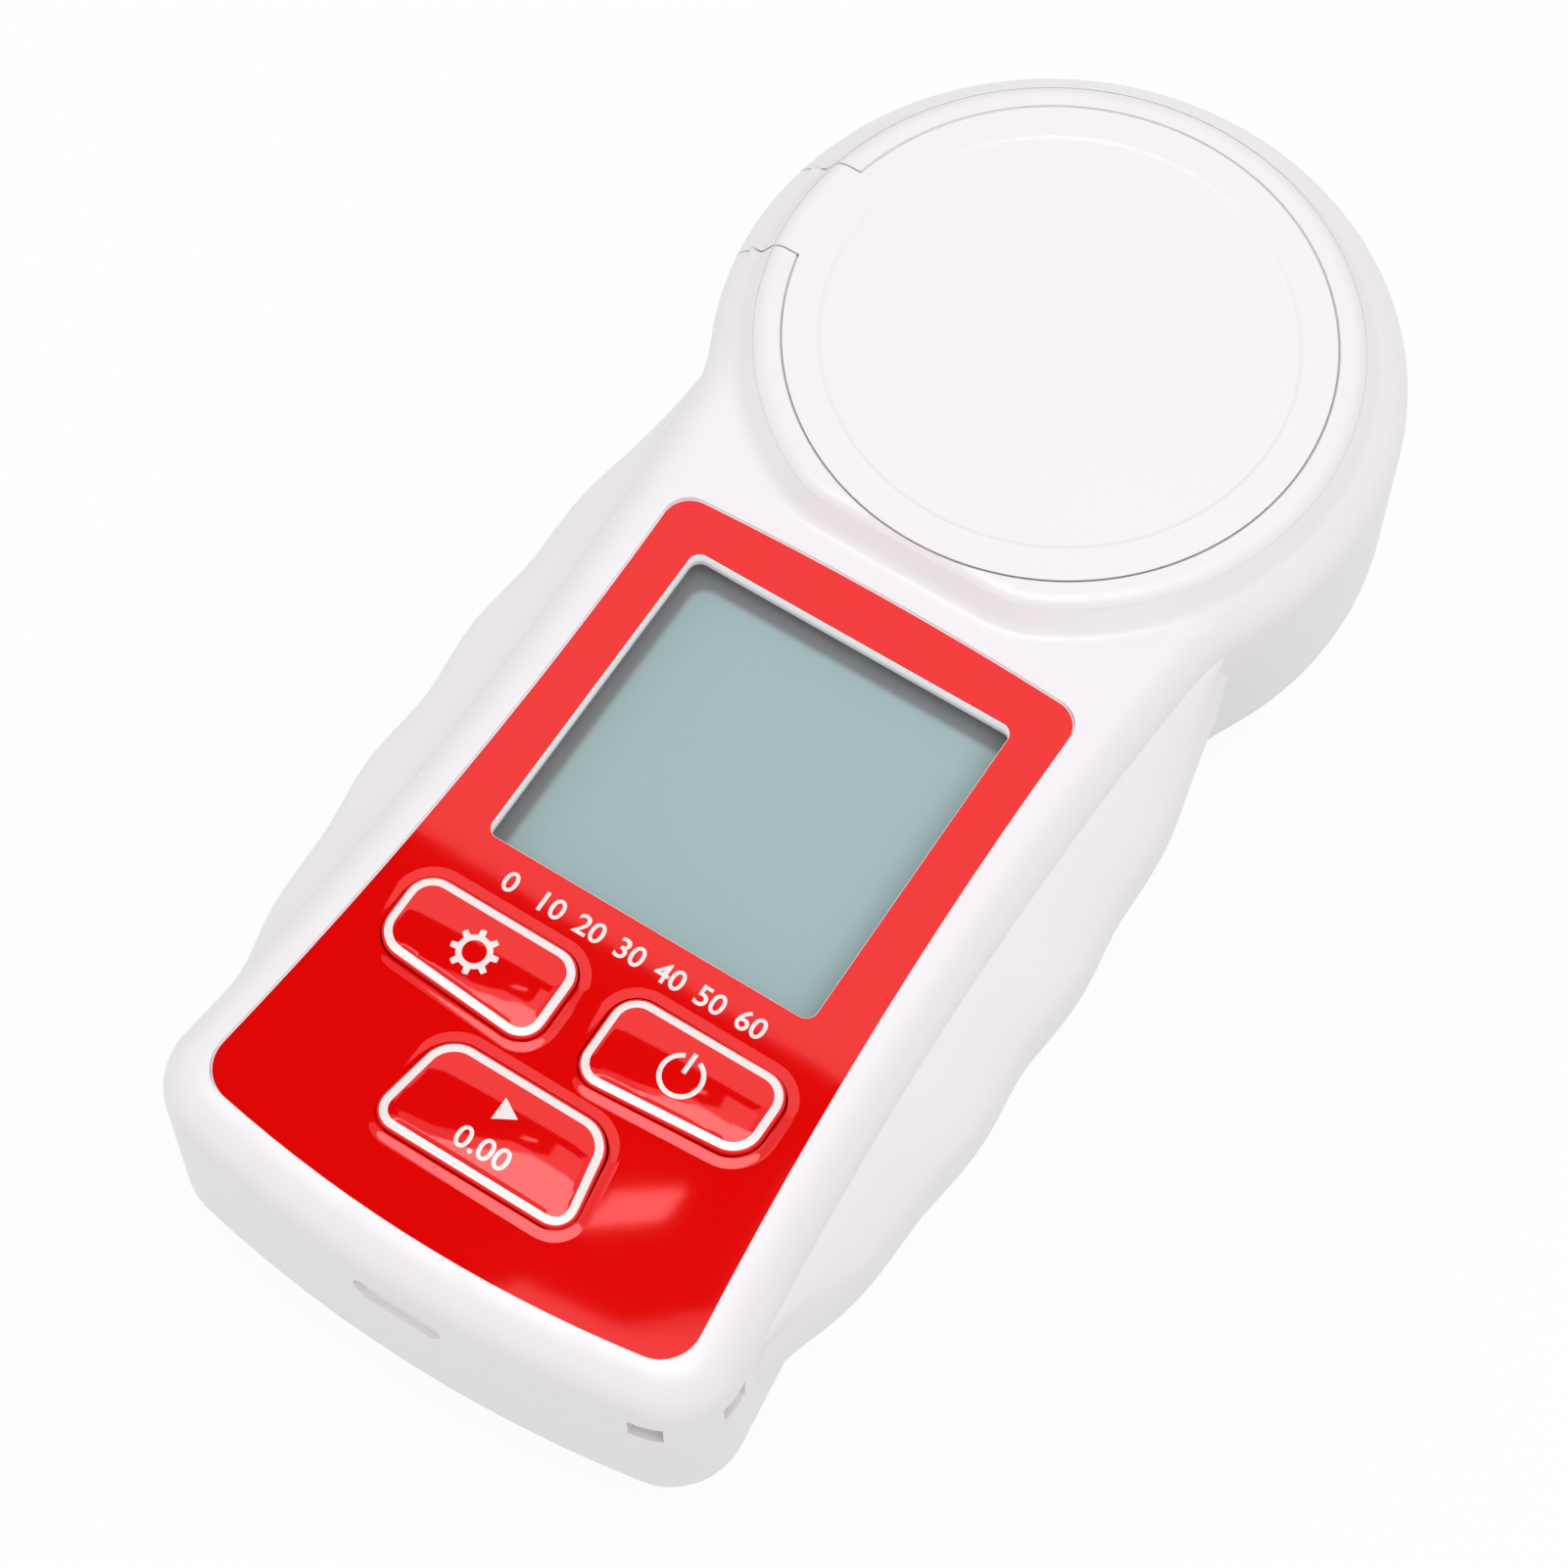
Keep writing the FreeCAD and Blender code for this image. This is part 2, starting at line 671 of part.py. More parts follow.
def port_recess():
    half = PORT_W / 2
    r = PORT_H / 2
    y0 = TAIL_Y - 1
    y1 = TAIL_Y + PORT_DEPTH
    bar = block(-half + r, half - r, y0, y1, PORT_Z - r, PORT_Z + r)
    ends = [Part.makeCylinder(r, y1 - y0, vec(x, y0, PORT_Z), vec(0, 1)) for x in (r - half, half - r)]
    return bar.multiFuse(ends)


def cord_eye():
    """Square tunnel round the corner post, from the tail wall to the right side."""
    half = EYE / 2
    bend_x = EYE_X
    bend_y = EYE_Y
    radius = EYE_BEND_R
    centre = vec(bend_x + radius, bend_y - radius, EYE_Z - half)
    outer = Part.makeCylinder(radius + half, EYE, centre)
    inner = Part.makeCylinder(radius - half, EYE, centre)
    quarter = block(centre.x - BIG, centre.x, centre.y, centre.y + BIG, 0, BIG)
    bend = outer.cut(inner).common(quarter)
    down = block(bend_x - half, bend_x + half, TAIL_Y - CUT_OVER, centre.y, EYE_Z - half, EYE_Z + half)
    out = block(centre.x, GRIP_PEAK_X + CUT_OVER, bend_y - half, bend_y + half, EYE_Z - half, EYE_Z + half)
    return bend.multiFuse([down, out])


def cord_eye_wall():
    """Solid corner of the case that closes the tunnel off from the inside."""
    z0 = EYE_Z - EYE / 2 - WALL / 2
    corner = block(EYE_WALL_X, BIG / 4, -BIG / 2, EYE_WALL_Y, z0, CEILING_Z)
    return corner.common(case_block(WALL / 2, z0, CEILING_Z))


def upper_case(shell):
    """Deep top shell with the well ring, hinge cheeks, screw bosses and board posts."""
    low = block(-BIG, BIG, -BIG, BIG, -BIG, SPLIT_Z)
    rebate = case_block(WALL - TONGUE_T - SHELL_FIT, SPLIT_Z - 1, SEAL_TOP_Z)
    body = shell.cut(low).cut(case_block(WALL, SPLIT_Z - 1, CEILING_Z)).cut(rebate)
    inner = [well_support(), hinge_boss(), cord_eye_wall()]
    root_z = CEILING_Z + BOSS_ROOT
    inner += pattern(BOSS_SPOTS, BOSS_R, TONGUE_TOP_Z, root_z)
    inner += pattern(POST_SPOTS, POST_R, BOARD_TOP_Z, root_z)
    body = body.multiFuse(inner)
    cuts = [sample_well(), hinge_pocket(), cord_eye(), port_recess()]
    cuts += [film_block(-FILM_GAP, LABEL_FLOOR_Z, BODY_TOP + 1)]
    cuts += [window_block(0, CEILING_Z - 1, BODY_TOP)]
    cuts += [key_hole(points) for points in key_outlines()]
    cuts += pattern(BOSS_SPOTS, SCREW_R + SCREW_FIT, SPLIT_Z, SCREW_TIP_Z + SCREW_RUN)
    post_run = POST_SCREW_LENGTH + SCREW_RUN
    cuts += pattern(POST_SPOTS, POST_SCREW_R + SCREW_FIT, BOARD_Z, BOARD_Z + post_run)
    cuts += pattern_y(EAR_R, POST_SCREW_R + SCREW_FIT, EAR_Z, EAR_Z + post_run)
    cuts += [hinge_axis_rod(PIN_R + PIN_PRESS, PIN_LENGTH)]
    for cutter in cuts:
        body = body.cut(cutter)
    return body


def tongue():
    outer = case_block(WALL - TONGUE_T, SPLIT_Z - 1, TONGUE_TOP_Z)
    return outer.cut(case_block(WALL, SPLIT_Z - 2, TONGUE_TOP_Z + 1))


def case_seal():
    """Soft ring on top of the tongue, in the rebate of the upper shell."""
    outer = case_block(WALL - TONGUE_T + SHELL_FIT, TONGUE_TOP_Z, SEAL_TOP_Z)
    return outer.cut(case_block(WALL - SHELL_FIT, TONGUE_TOP_Z - 1, SEAL_TOP_Z + 1))


def bay_block(grow, z0, z1, corner=0.0):
    half = BAY_HALF_W + grow
    return block(-half, half, BAY_END_Y - grow, BAY_TOP_Y + grow, z0, z1, corner)


def door_hinge_y():
    return BAY_TOP_Y + DOOR_SHELF


def door_hook_room():
    """Clear space in which the hooks of the door turn, above the lip of the case."""
    rooms = []
    for x in (-DOOR_HOOK_X, DOOR_HOOK_X):
        centre = vec(x, door_hinge_y(), DOOR_SINK)
        room = rod_along(vec(1, 0), DOOR_HOOK_R + DOOR_GAP, DOOR_HOOK_W + 2 * DOOR_GAP, centre)
        lip = block(-BIG, BIG, door_hinge_y(), BIG, -BIG, DOOR_LIP_Z)
        rooms.append(room.cut(lip))
    return rooms


def lower_case(shell):
    """Shallow back shell with the tongue, screw bosses and the open battery bay."""
    high = block(-BIG, BIG, -BIG, BIG, SPLIT_Z, BIG)
    room = case_block(WALL, FLOOR, BODY_TOP)
    room = room.makeFillet(BOTTOM_EDGE_R - WALL, edges_at(room, FLOOR))
    body = shell.cut(high).cut(room)
    walls = bay_block(BAY_WALL, FLOOR / 2, BAY_TOP_Z)
    foot = bay_block(BAY_WALL + BAY_FOOT, FLOOR / 2, BAY_FOOT_Z)
    inner = [tongue(), walls, foot]
    inner += pattern(BOSS_SPOTS, BOSS_R + BOSS_EXTRA, FLOOR / 2, TONGUE_TOP_Z)
    body = body.multiFuse(inner)
    cuts = [bay_block(0, -1, BAY_TOP_Z + 1)]
    cuts += [bay_block(DOOR_SHELF + DOOR_GAP, -1, DOOR_TOP_Z + DOOR_REST, DOOR_CORNER_R + DOOR_GAP)]
    cuts += pattern(BOSS_SPOTS, SCREW_HEAD_R + DOOR_GAP, -1, SCREW_SEAT_Z)
    cuts += pattern(BOSS_SPOTS, SCREW_R + 2 * SHELL_FIT, -1, TONGUE_TOP_Z + 1)
    cuts += door_hook_room()
    for cutter in cuts:
        body = body.cut(cutter)
    return body


def battery_door():
    """Back door: it swings on two hooks and is held by a springy latch tongue."""
    door = bay_block(DOOR_SHELF, DOOR_SINK, DOOR_TOP_Z, DOOR_CORNER_R)
    half = DOOR_HOOK_W / 2
    hooks = []
    for x in (-DOOR_HOOK_X, DOOR_HOOK_X):
        y0 = door_hinge_y() - DOOR_SHELF
        reach = math.sqrt(DOOR_HOOK_R ** 2 - DOOR_T ** 2) - DOOR_REST
        hooks.append(block(x - half, x + half, y0, door_hinge_y() + reach,
                           DOOR_TOP_Z - DOOR_HOOK_T, DOOR_TOP_Z))
    y0 = BAY_END_Y + DOOR_GAP + LATCH_BARB
    latch = block(-LATCH_W / 2, LATCH_W / 2, y0, y0 + LATCH_T, DOOR_TOP_Z - LATCH_ROOT, DOOR_TOP_Z + LATCH_H)
    barb = rod_along(vec(1, 0), LATCH_BARB, LATCH_W, vec(0, y0, DOOR_TOP_Z + LATCH_BARB_H))
    door = door.multiFuse(hooks + [latch, barb]).removeSplitter()
    for i in range(GRIP_RIDGES):
        y = BAY_END_Y + DOOR_RIDGE_Y + i * GRIP_RIDGE_PITCH
        groove = rod_along(vec(1, 0), GRIP_RIDGE_R, DOOR_RIDGE_W, vec(0, y, DOOR_SINK - GRIP_RIDGE_R / 2))
        door = door.cut(groove)
    return door


def pattern(spots, radius, z0, z1):
    """Upright rods at each spot and at its mirror image."""
    return [rod(radius, z0, z1, side * x, y) for x, y in spots for side in (-1, 1)]


def pattern_y(reach, radius, z0, z1):
    """Two upright rods before and behind the centre of the head."""
    return [rod(radius, z0, z1, 0, HEAD_Y + side * reach) for side in (-1, 1)]


def screw(x, y, seat_z, length, radius, head_r, head_h):
    """Screw driven upwards, with a recess in its head below the seat."""
    shank = rod(radius, seat_z, seat_z + length, x, y)
    head = rod(head_r, seat_z - head_h, seat_z, x, y)
    recess = rod(radius * SCREW_DRIVE, seat_z - head_h - 1, seat_z - head_h / 2, x, y)
    return head.fuse(shank).removeSplitter().cut(recess)


def case_screws():
    return [screw(side * x, y, SCREW_SEAT_Z, SCREW_LENGTH, SCREW_R, SCREW_HEAD_R, SCREW_HEAD_H)
            for x, y in BOSS_SPOTS for side in (-1, 1)]


def board_screws():
    return [screw(side * x, y, BOARD_Z, POST_SCREW_LENGTH, POST_SCREW_R, POST_HEAD_R, POST_HEAD_H)
            for x, y in POST_SPOTS for side in (-1, 1)]


def optics_screws():
    return [screw(0, HEAD_Y + side * EAR_R, EAR_Z, POST_SCREW_LENGTH, POST_SCREW_R, POST_HEAD_R,
                  POST_HEAD_H) for side in (-1, 1)]


def tab_profile():
    """Side view of the lid's tab before the head's own surface trims its back."""
    outer_x = -HINGE_X - BARREL_R
    inner_x = -HINGE_X + BARREL_R
    under_z = LID_TOP_Z - TAB_T
    slope_x = -SEAM_R + TAB_ROOT
    root_x = -WELL_R - POCKET_LIP - TAB_GAP
    return [
        line(vec(root_x, 0, LID_TOP_Z), vec(outer_x, 0, LID_TOP_Z)),
        line(vec(outer_x, 0, LID_TOP_Z), vec(outer_x, 0, HINGE_Z)),
        arc(vec(outer_x, 0, HINGE_Z), vec(-HINGE_X, 0, HINGE_Z - BARREL_R), vec(inner_x, 0, HINGE_Z)),
        line(vec(inner_x, 0, HINGE_Z), vec(inner_x, 0, under_z)),
        line(vec(inner_x, 0, under_z), vec(-SEAM_R, 0, under_z)),
        line(vec(-SEAM_R, 0, under_z), vec(slope_x, 0, LID_UNDER_Z)),
        line(vec(slope_x, 0, LID_UNDER_Z), vec(root_x, 0, LID_UNDER_Z)),
        line(vec(root_x, 0, LID_UNDER_Z), vec(root_x, 0, LID_TOP_Z)),
    ]


def sample_lid(shell):
    """Round lid with a tapered edge, a stepped face, a skirt and a tab flush with the head."""
    edge_r = SEAM_R - SEAM_GAP
    drop = LID_TOP_Z - LID_UNDER_Z - LID_LAND
    under_r = edge_r - drop * LID_TAPER
    face_z = LID_TOP_Z - LID_STEP
    profile = [(0, face_z), (LID_STEP_R, face_z), (LID_STEP_R + 2 * LID_STEP, LID_TOP_Z),
               (edge_r, LID_TOP_Z), (edge_r, LID_TOP_Z - LID_LAND), (under_r, LID_UNDER_Z),
               (LID_SKIRT_R, LID_UNDER_Z), (LID_SKIRT_R, LID_UNDER_Z - LID_SKIRT_H),
               (LID_SKIRT_R - LID_SKIRT_T, LID_UNDER_Z - LID_SKIRT_H),
               (LID_SKIRT_R - LID_SKIRT_T, LID_UNDER_Z), (0, LID_UNDER_Z)]
    disc = turned(profile, 0, HEAD_Y)
    tab = Part.Face(Part.Wire(tab_profile())).extrude(vec(0, TAB_W))
    tab.translate(vec(0, HEAD_Y - TAB_W / 2))
    lid = disc.fuse(tab.common(shell)).removeSplitter()
    return lid.cut(hinge_axis_rod(PIN_R + PIN_RUN, TAB_W + 2))


def lid_seal():
    return ring(LID_SEAL_OUT_R, LID_SEAL_IN_R, STAGE_TOP_Z + LID_REST, LID_UNDER_Z, 0, HEAD_Y)


def sample_stage():
    """Pressed steel dish: flange, sloping bowl and the hole for the prism."""
    t = DISH_T
    profile = [(FLANGE_R, STAGE_TOP_Z), (FLANGE_R, STAGE_TOP_Z - t), (DISH_R, STAGE_TOP_Z - t),
               (DISH_FLAT_R, DISH_Z - t), (PRISM_HOLE_R, DISH_Z - t), (PRISM_HOLE_R, DISH_Z),
               (DISH_FLAT_R - t / 2, DISH_Z), (DISH_R - t / 2, STAGE_TOP_Z)]
    return turned(profile, 0, HEAD_Y)


def stage_seal():
    return ring(FLANGE_R, STAGE_HOLE_R, FLANGE_Z, FLANGE_Z + STAGE_SEAL_T, 0, HEAD_Y)


def prism_glass():
    """Sample prism: round face and flange above a block with two slanted light faces."""
    low = PRISM_FLANGE_Z - PRISM_BODY_H
    face = turned([(0, PRISM_TOP_Z), (PRISM_R, PRISM_TOP_Z), (PRISM_R, PRISM_SEAT_Z),
                   (PRISM_FLANGE_R, PRISM_SEAT_Z), (PRISM_FLANGE_R, PRISM_FLANGE_Z),
                   (0, PRISM_FLANGE_Z)], 0, HEAD_Y)
    half = PRISM_BODY_W / 2
    foot = PRISM_FOOT_W / 2
    corners = [vec(-half, 0, PRISM_FLANGE_Z), vec(half, 0, PRISM_FLANGE_Z), vec(foot, 0, low),
               vec(-foot, 0, low)]
    wire = Part.makePolygon(corners + corners[:1])
    body = Part.Face(wire).extrude(vec(0, PRISM_DEPTH))
    body.translate(vec(0, HEAD_Y - PRISM_DEPTH / 2))
    return face.fuse(body)


def prism_seal():
    return ring(PRISM_FLANGE_R, PRISM_HOLE_R, PRISM_SEAT_Z, DISH_Z - DISH_T, 0, HEAD_Y)


def along_x(radius, x0, x1, z):
    return Part.makeCylinder(radius, x1 - x0, vec(x0, HEAD_Y, z), vec(1, 0))


def optics_housing():
    """Dark block round the prism: lamp bore, lens bore, sensor window and two ears."""
    half_w = HOUSING_W / 2
    half_d = HOUSING_D / 2
    y0 = HEAD_Y - half_d
    y1 = HEAD_Y + half_d
    top = DISH_Z - DISH_T
    body = block(-half_w, half_w, y0, y1, HOUSING_Z, top, HOUSING_CORNER_R)
    ear_reach = EAR_R + EAR_W / 2
    ears = block(-EAR_W / 2, EAR_W / 2, HEAD_Y - ear_reach, HEAD_Y + ear_reach, EAR_Z, EAR_Z + EAR_T,
                 EAR_W / 2 - END_FLAT)
    body = body.fuse(ears)
    gap = HOUSING_GAP
    room_x = PRISM_BODY_W / 2 + gap
    room_y = PRISM_DEPTH / 2 + gap
    room_z = PRISM_FLANGE_Z - PRISM_BODY_H - gap
    window_y = SENSOR_W / 2 + gap
    cuts = [rod(PRISM_FLANGE_R + gap, PRISM_FLANGE_Z, top + 1, 0, HEAD_Y)]
    cuts += [block(-room_x, room_x, HEAD_Y - room_y, HEAD_Y + room_y, room_z, top + 1)]
    cuts += [along_x(LAMP_R + gap / 2, -half_w - 1, 0, LIGHT_Z)]
    cuts += [along_x(LENS_R + gap / 3, 0, half_w, LIGHT_Z)]
    cuts += [block(half_w - SENSOR_T - gap, half_w + 1, HEAD_Y - window_y, HEAD_Y + window_y,
                   LIGHT_Z - SENSOR_H / 2 - gap, LIGHT_Z + SENSOR_H / 2 + gap)]
    cuts += [rod(THERMISTOR_R + gap / 2, top - THERMISTOR_L - gap, top + 1, THERMISTOR_X,
                 HEAD_Y + THERMISTOR_Y)]
    cuts += pattern_y(EAR_R, POST_SCREW_R + gap, EAR_Z - 1, EAR_Z + EAR_T + 1)
    for cutter in cuts:
        body = body.cut(cutter)
    return body


def lens():
    """Round lens, flat towards the prism and bulging towards the sensor."""
    tip = LENS_X + LENS_T + LENS_BULGE
    ball_r = (LENS_R ** 2 + LENS_BULGE ** 2) / (2 * LENS_BULGE)
    ball = Part.makeSphere(ball_r, vec(tip - ball_r, HEAD_Y, LIGHT_Z))
    disc = along_x(LENS_R, LENS_X, LENS_X + LENS_T, LIGHT_Z)
    bulge = along_x(LENS_R, LENS_X + LENS_T / 2, tip, LIGHT_Z).common(ball)
    return disc.fuse(bulge).removeSplitter()


def light_source():
    """Lamp with a domed front and a collar that rests on its small board."""
    x0 = -HOUSING_W / 2
    body = along_x(LAMP_R, x0, x0 + LAMP_L, LIGHT_Z)
    return body.fuse(Part.makeSphere(LAMP_R, vec(x0 + LAMP_L, HEAD_Y, LIGHT_Z))).removeSplitter()


def lamp_board():
    x1 = -HOUSING_W / 2
    return block(x1 - SENSOR_BOARD_T, x1, HEAD_Y - LAMP_BOARD_W / 2, HEAD_Y + LAMP_BOARD_W / 2,
                 SIDE_BOARD_Z, SIDE_BOARD_Z + SENSOR_BOARD_H)


def sensor_board():
    x0 = HOUSING_W / 2
    half = SENSOR_BOARD_W / 2
    return block(x0, x0 + SENSOR_BOARD_T, HEAD_Y - half, HEAD_Y + half, SIDE_BOARD_Z,
                 SIDE_BOARD_Z + SENSOR_BOARD_H)


def image_sensor():
    x1 = HOUSING_W / 2
    half = SENSOR_W / 2
    return block(x1 - SENSOR_T, x1, HEAD_Y - half, HEAD_Y + half, LIGHT_Z - SENSOR_H / 2,
                 LIGHT_Z + SENSOR_H / 2)


def temperature_sensor():
    top = DISH_Z - DISH_T
    return rod(THERMISTOR_R, top - THERMISTOR_L, top, THERMISTOR_X, HEAD_Y + THERMISTOR_Y)


def cable_x():
    """Inner face of the flat cables, which lie on the outer faces of the side boards."""
    return HOUSING_W / 2 + SENSOR_BOARD_T


def flat_cable(side, start_y):
    """Straight flat cable from a side board in the head to its socket on the main board."""
    x0 = cable_x()
    z0 = BOARD_TOP_Z + SOCKET_FLOOR
    strip = block(x0, x0 + RIBBON_T, SOCKET_Y - SOCKET_L / 2 + SOCKET_FLOOR, start_y, z0, z0 + RIBBON_W)
    return strip if side > 0 else mirrored(strip)


def cable_sockets():
    half_t = SOCKET_W / 2
    x = cable_x() + RIBBON_T / 2
    z0 = BOARD_TOP_Z
    body = block(x - half_t, x + half_t, SOCKET_Y - SOCKET_L / 2, SOCKET_Y + SOCKET_L / 2, z0,
                 z0 + SOCKET_H, CHIP_CORNER_R)
    slot = block(x - RIBBON_T, x + RIBBON_T, SOCKET_Y - SOCKET_L / 2 + SOCKET_FLOOR, BIG,
                 z0 + SOCKET_FLOOR, z0 + SOCKET_H + 1)
    return both_sides(body.cut(slot))


def hinge_pin():
    return hinge_axis_rod(PIN_R, PIN_LENGTH)


def front_film():
    """Printed front film with the window and the three key openings."""
    film = film_block(0, LABEL_FLOOR_Z, FILM_TOP_Z)
    film = film.cut(window_block(0, LABEL_FLOOR_Z - 1, FILM_TOP_Z + 1))
    for points in key_outlines():
        film = film.cut(key_hole(points))
    return film


def display_window():
    return window_block(PANE_MARGIN, PANE_Z, CEILING_Z)


def display_panel():
    return window_block(LCD_MARGIN, LCD_Z, LCD_TOP_Z)


def display_holder():
    """Frame that stands on the board, with a shelf on which the display lies."""
    wall = LCD_MARGIN + LCD_FIT
    body = window_block(wall + LCD_HOLDER_WALL, BOARD_TOP_Z, PANE_Z)
    body = body.cut(window_block(wall, LCD_Z, PANE_Z + 1))
    half_x = WINDOW_W / 2 + LCD_MARGIN - LCD_SHELF_W
    y0 = WINDOW_END_Y - LCD_MARGIN + LCD_FIT
    y1 = WINDOW_TOP_Y + LCD_MARGIN - LCD_FIT
    return body.cut(block(-half_x, half_x, y0, y1, BOARD_TOP_Z - 1, LCD_Z + 1))


def display_strips():
    """Two soft contact strips between the board and the edges of the display."""
    half_x = WINDOW_W / 2 + LCD_MARGIN - LCD_SHELF_W - LCD_FIT
    y0 = WINDOW_END_Y - LCD_MARGIN + 2 * LCD_FIT
    y1 = WINDOW_TOP_Y + LCD_MARGIN - 2 * LCD_FIT
    return [block(-half_x, half_x, y0, y0 + STRIP_W, BOARD_TOP_Z, LCD_Z),
            block(-half_x, half_x, y1 - STRIP_W, y1, BOARD_TOP_Z, LCD_Z)]


def main_board():
    board = case_block(BOARD_INSET, BOARD_Z, BOARD_TOP_Z)
    board = board.cut(block(-BIG, BIG, BOARD_TOP_Y, BIG, 0, BIG))
    corner = block(EYE_WALL_X - BOSS_CLEAR, BIG, -BIG, EYE_WALL_Y + BOSS_CLEAR, 0, BIG)
    neck_x, neck_y = BOSS_SPOTS[1]
    shoulder = block(neck_x, BIG, neck_y, BIG, 0, BIG)
    cuts = both_sides(corner) + both_sides(shoulder)
    cuts += pattern(BOSS_SPOTS, BOSS_R + BOSS_CLEAR, 0, BODY_TOP)
    cuts += pattern(POST_SPOTS, POST_SCREW_R + SHELL_FIT, 0, BODY_TOP)
    for cutter in cuts:
        board = board.cut(cutter)
    return board


def key_switches():
    bodies = []
    for points in key_outlines():
        x, y = middle(points)
        half = SWITCH_W / 2
        body = block(x - half, x + half, y - half, y + half, BOARD_TOP_Z, SWITCH_TOP_Z, SWITCH_CORNER_R)
        guide = rod(PLUNGER_R + PLUNGER_RUN, SWITCH_TOP_Z - PLUNGER_GUIDE, SWITCH_TOP_Z + 1, x, y)
        bodies.append(body.cut(guide))
    return bodies


def microcontroller():
    half = MCU_W / 2
    chip = block(-half, half, MCU_Y - half, MCU_Y + half, BOARD_TOP_Z, BOARD_TOP_Z + MCU_H, CHIP_CORNER_R)
    dot = rod(MCU_DOT_R, BOARD_TOP_Z + MCU_H - MCU_DOT_DEPTH, BOARD_TOP_Z + MCU_H + 1, MCU_DOT_IN - half,
              MCU_Y + half - MCU_DOT_IN)
    return chip.cut(dot)


def board_parts():
    """Row of small parts between the display and the keys, centred on the board."""
    chips = []
    start = -PART_PITCH * (len(PART_SIZES) - 1) / 2
    for i, (w, d) in enumerate(PART_SIZES):
        x = start + i * PART_PITCH
        chips.append(block(x - w / 2, x + w / 2, PART_Y - d / 2, PART_Y + d / 2, BOARD_TOP_Z,
                           BOARD_TOP_Z + PART_H))
    return chips


def buzzer():
    can = rod(BUZZER_R, BOARD_TOP_Z, BOARD_TOP_Z + BUZZER_H, -BUZZER_X, BUZZER_Y)
    return can.cut(rod(BUZZER_HOLE_R, BOARD_TOP_Z + BUZZER_H / 2, BODY_TOP, -BUZZER_X, BUZZER_Y))


def crystal():
    x = BUZZER_X
    half = CRYSTAL_L / 2
    return block(x - CRYSTAL_W / 2, x + CRYSTAL_W / 2, BUZZER_Y - half, BUZZER_Y + half, BOARD_TOP_Z,
                 BOARD_TOP_Z + CRYSTAL_H, CRYSTAL_W / 2 - END_FLAT)


def battery(side):
    """Cell with its button towards +Y on the left and towards -Y on the right."""
    length = CELL_LENGTH - CELL_NUB_H
    can = Part.makeCylinder(CELL_R, length, vec(0, -CELL_LENGTH / 2), vec(0, 1))
    can = can.makeChamfer(CELL_EDGE, [e for e in can.Edges if isinstance(e.Curve, Part.Circle)])
    nub = Part.makeCylinder(CELL_NUB_R, CELL_LENGTH / 2, vec(0, 0), vec(0, 1))
    cell = can.fuse(nub).removeSplitter()
    if side > 0:
        cell.rotate(vec(0, 0), vec(0, 0, 1), 180)
    cell.translate(vec(side * CELL_X, BAY_MID_Y, CELL_Z))
    return cell


def contact_plates():
    """Four plates on the end walls of the bay, one behind each end of the cells."""
    plates = []
    half = CONTACT_W / 2
    z0 = CELL_Z - CONTACT_H / 2
    for side in (-1, 1):
        x = side * CELL_X
        plates.append(block(x - half, x + half, BAY_TOP_Y - CONTACT_T, BAY_TOP_Y, z0, z0 + CONTACT_H))
        plates.append(block(x - half, x + half, BAY_END_Y, BAY_END_Y + CONTACT_T, z0, z0 + CONTACT_H))
    return plates


def contact_buttons():
    """Raised pads that meet the button end of each cell."""
    pads = []
    reach = BAY_END_GAP - CONTACT_T
    for side in (-1, 1):
        end = BAY_TOP_Y - CONTACT_T if side < 0 else BAY_END_Y + CONTACT_T
        centre = vec(side * CELL_X, end + side * reach / 2, CELL_Z)
        pads.append(rod_along(vec(0, 1), CELL_NUB_R, reach, centre))
    return pads


def coil(height):
    """Helical wire about the Y axis, from y = 0 to the given height."""
    steps = SPRING_TURNS * SPRING_STEPS
    points = []
    for i in range(steps + 1):
        turn = 2 * math.pi * i / SPRING_STEPS
        points.append(vec(SPRING_R * math.cos(turn), height * i / steps, SPRING_R * math.sin(turn)))
    path = Part.BSplineCurve()
    path.interpolate(points)
    start = Part.Circle(points[0], path.tangent(0)[0], SPRING_WIRE)
    return Part.Wire(path.toShape()).makePipeShell([Part.Wire(start.toShape())], True, True)


def battery_springs():
    """Coil springs that press on the flat end of each cell."""
    springs = []
    height = BAY_END_GAP - CONTACT_T - 2 * SPRING_WIRE
    for side in (-1, 1):
        spring = coil(height)
        start = BAY_END_Y + CONTACT_T + SPRING_WIRE
        if side > 0:
            spring = spring.mirror(vec(0, 0), vec(0, 1))
            start = BAY_TOP_Y - CONTACT_T - SPRING_WIRE
        spring.translate(vec(side * CELL_X, start, CELL_Z))
        springs.append(spring)
    return springs


def group(solids):
    return solids[0] if len(solids) == 1 else Part.makeCompound(solids)


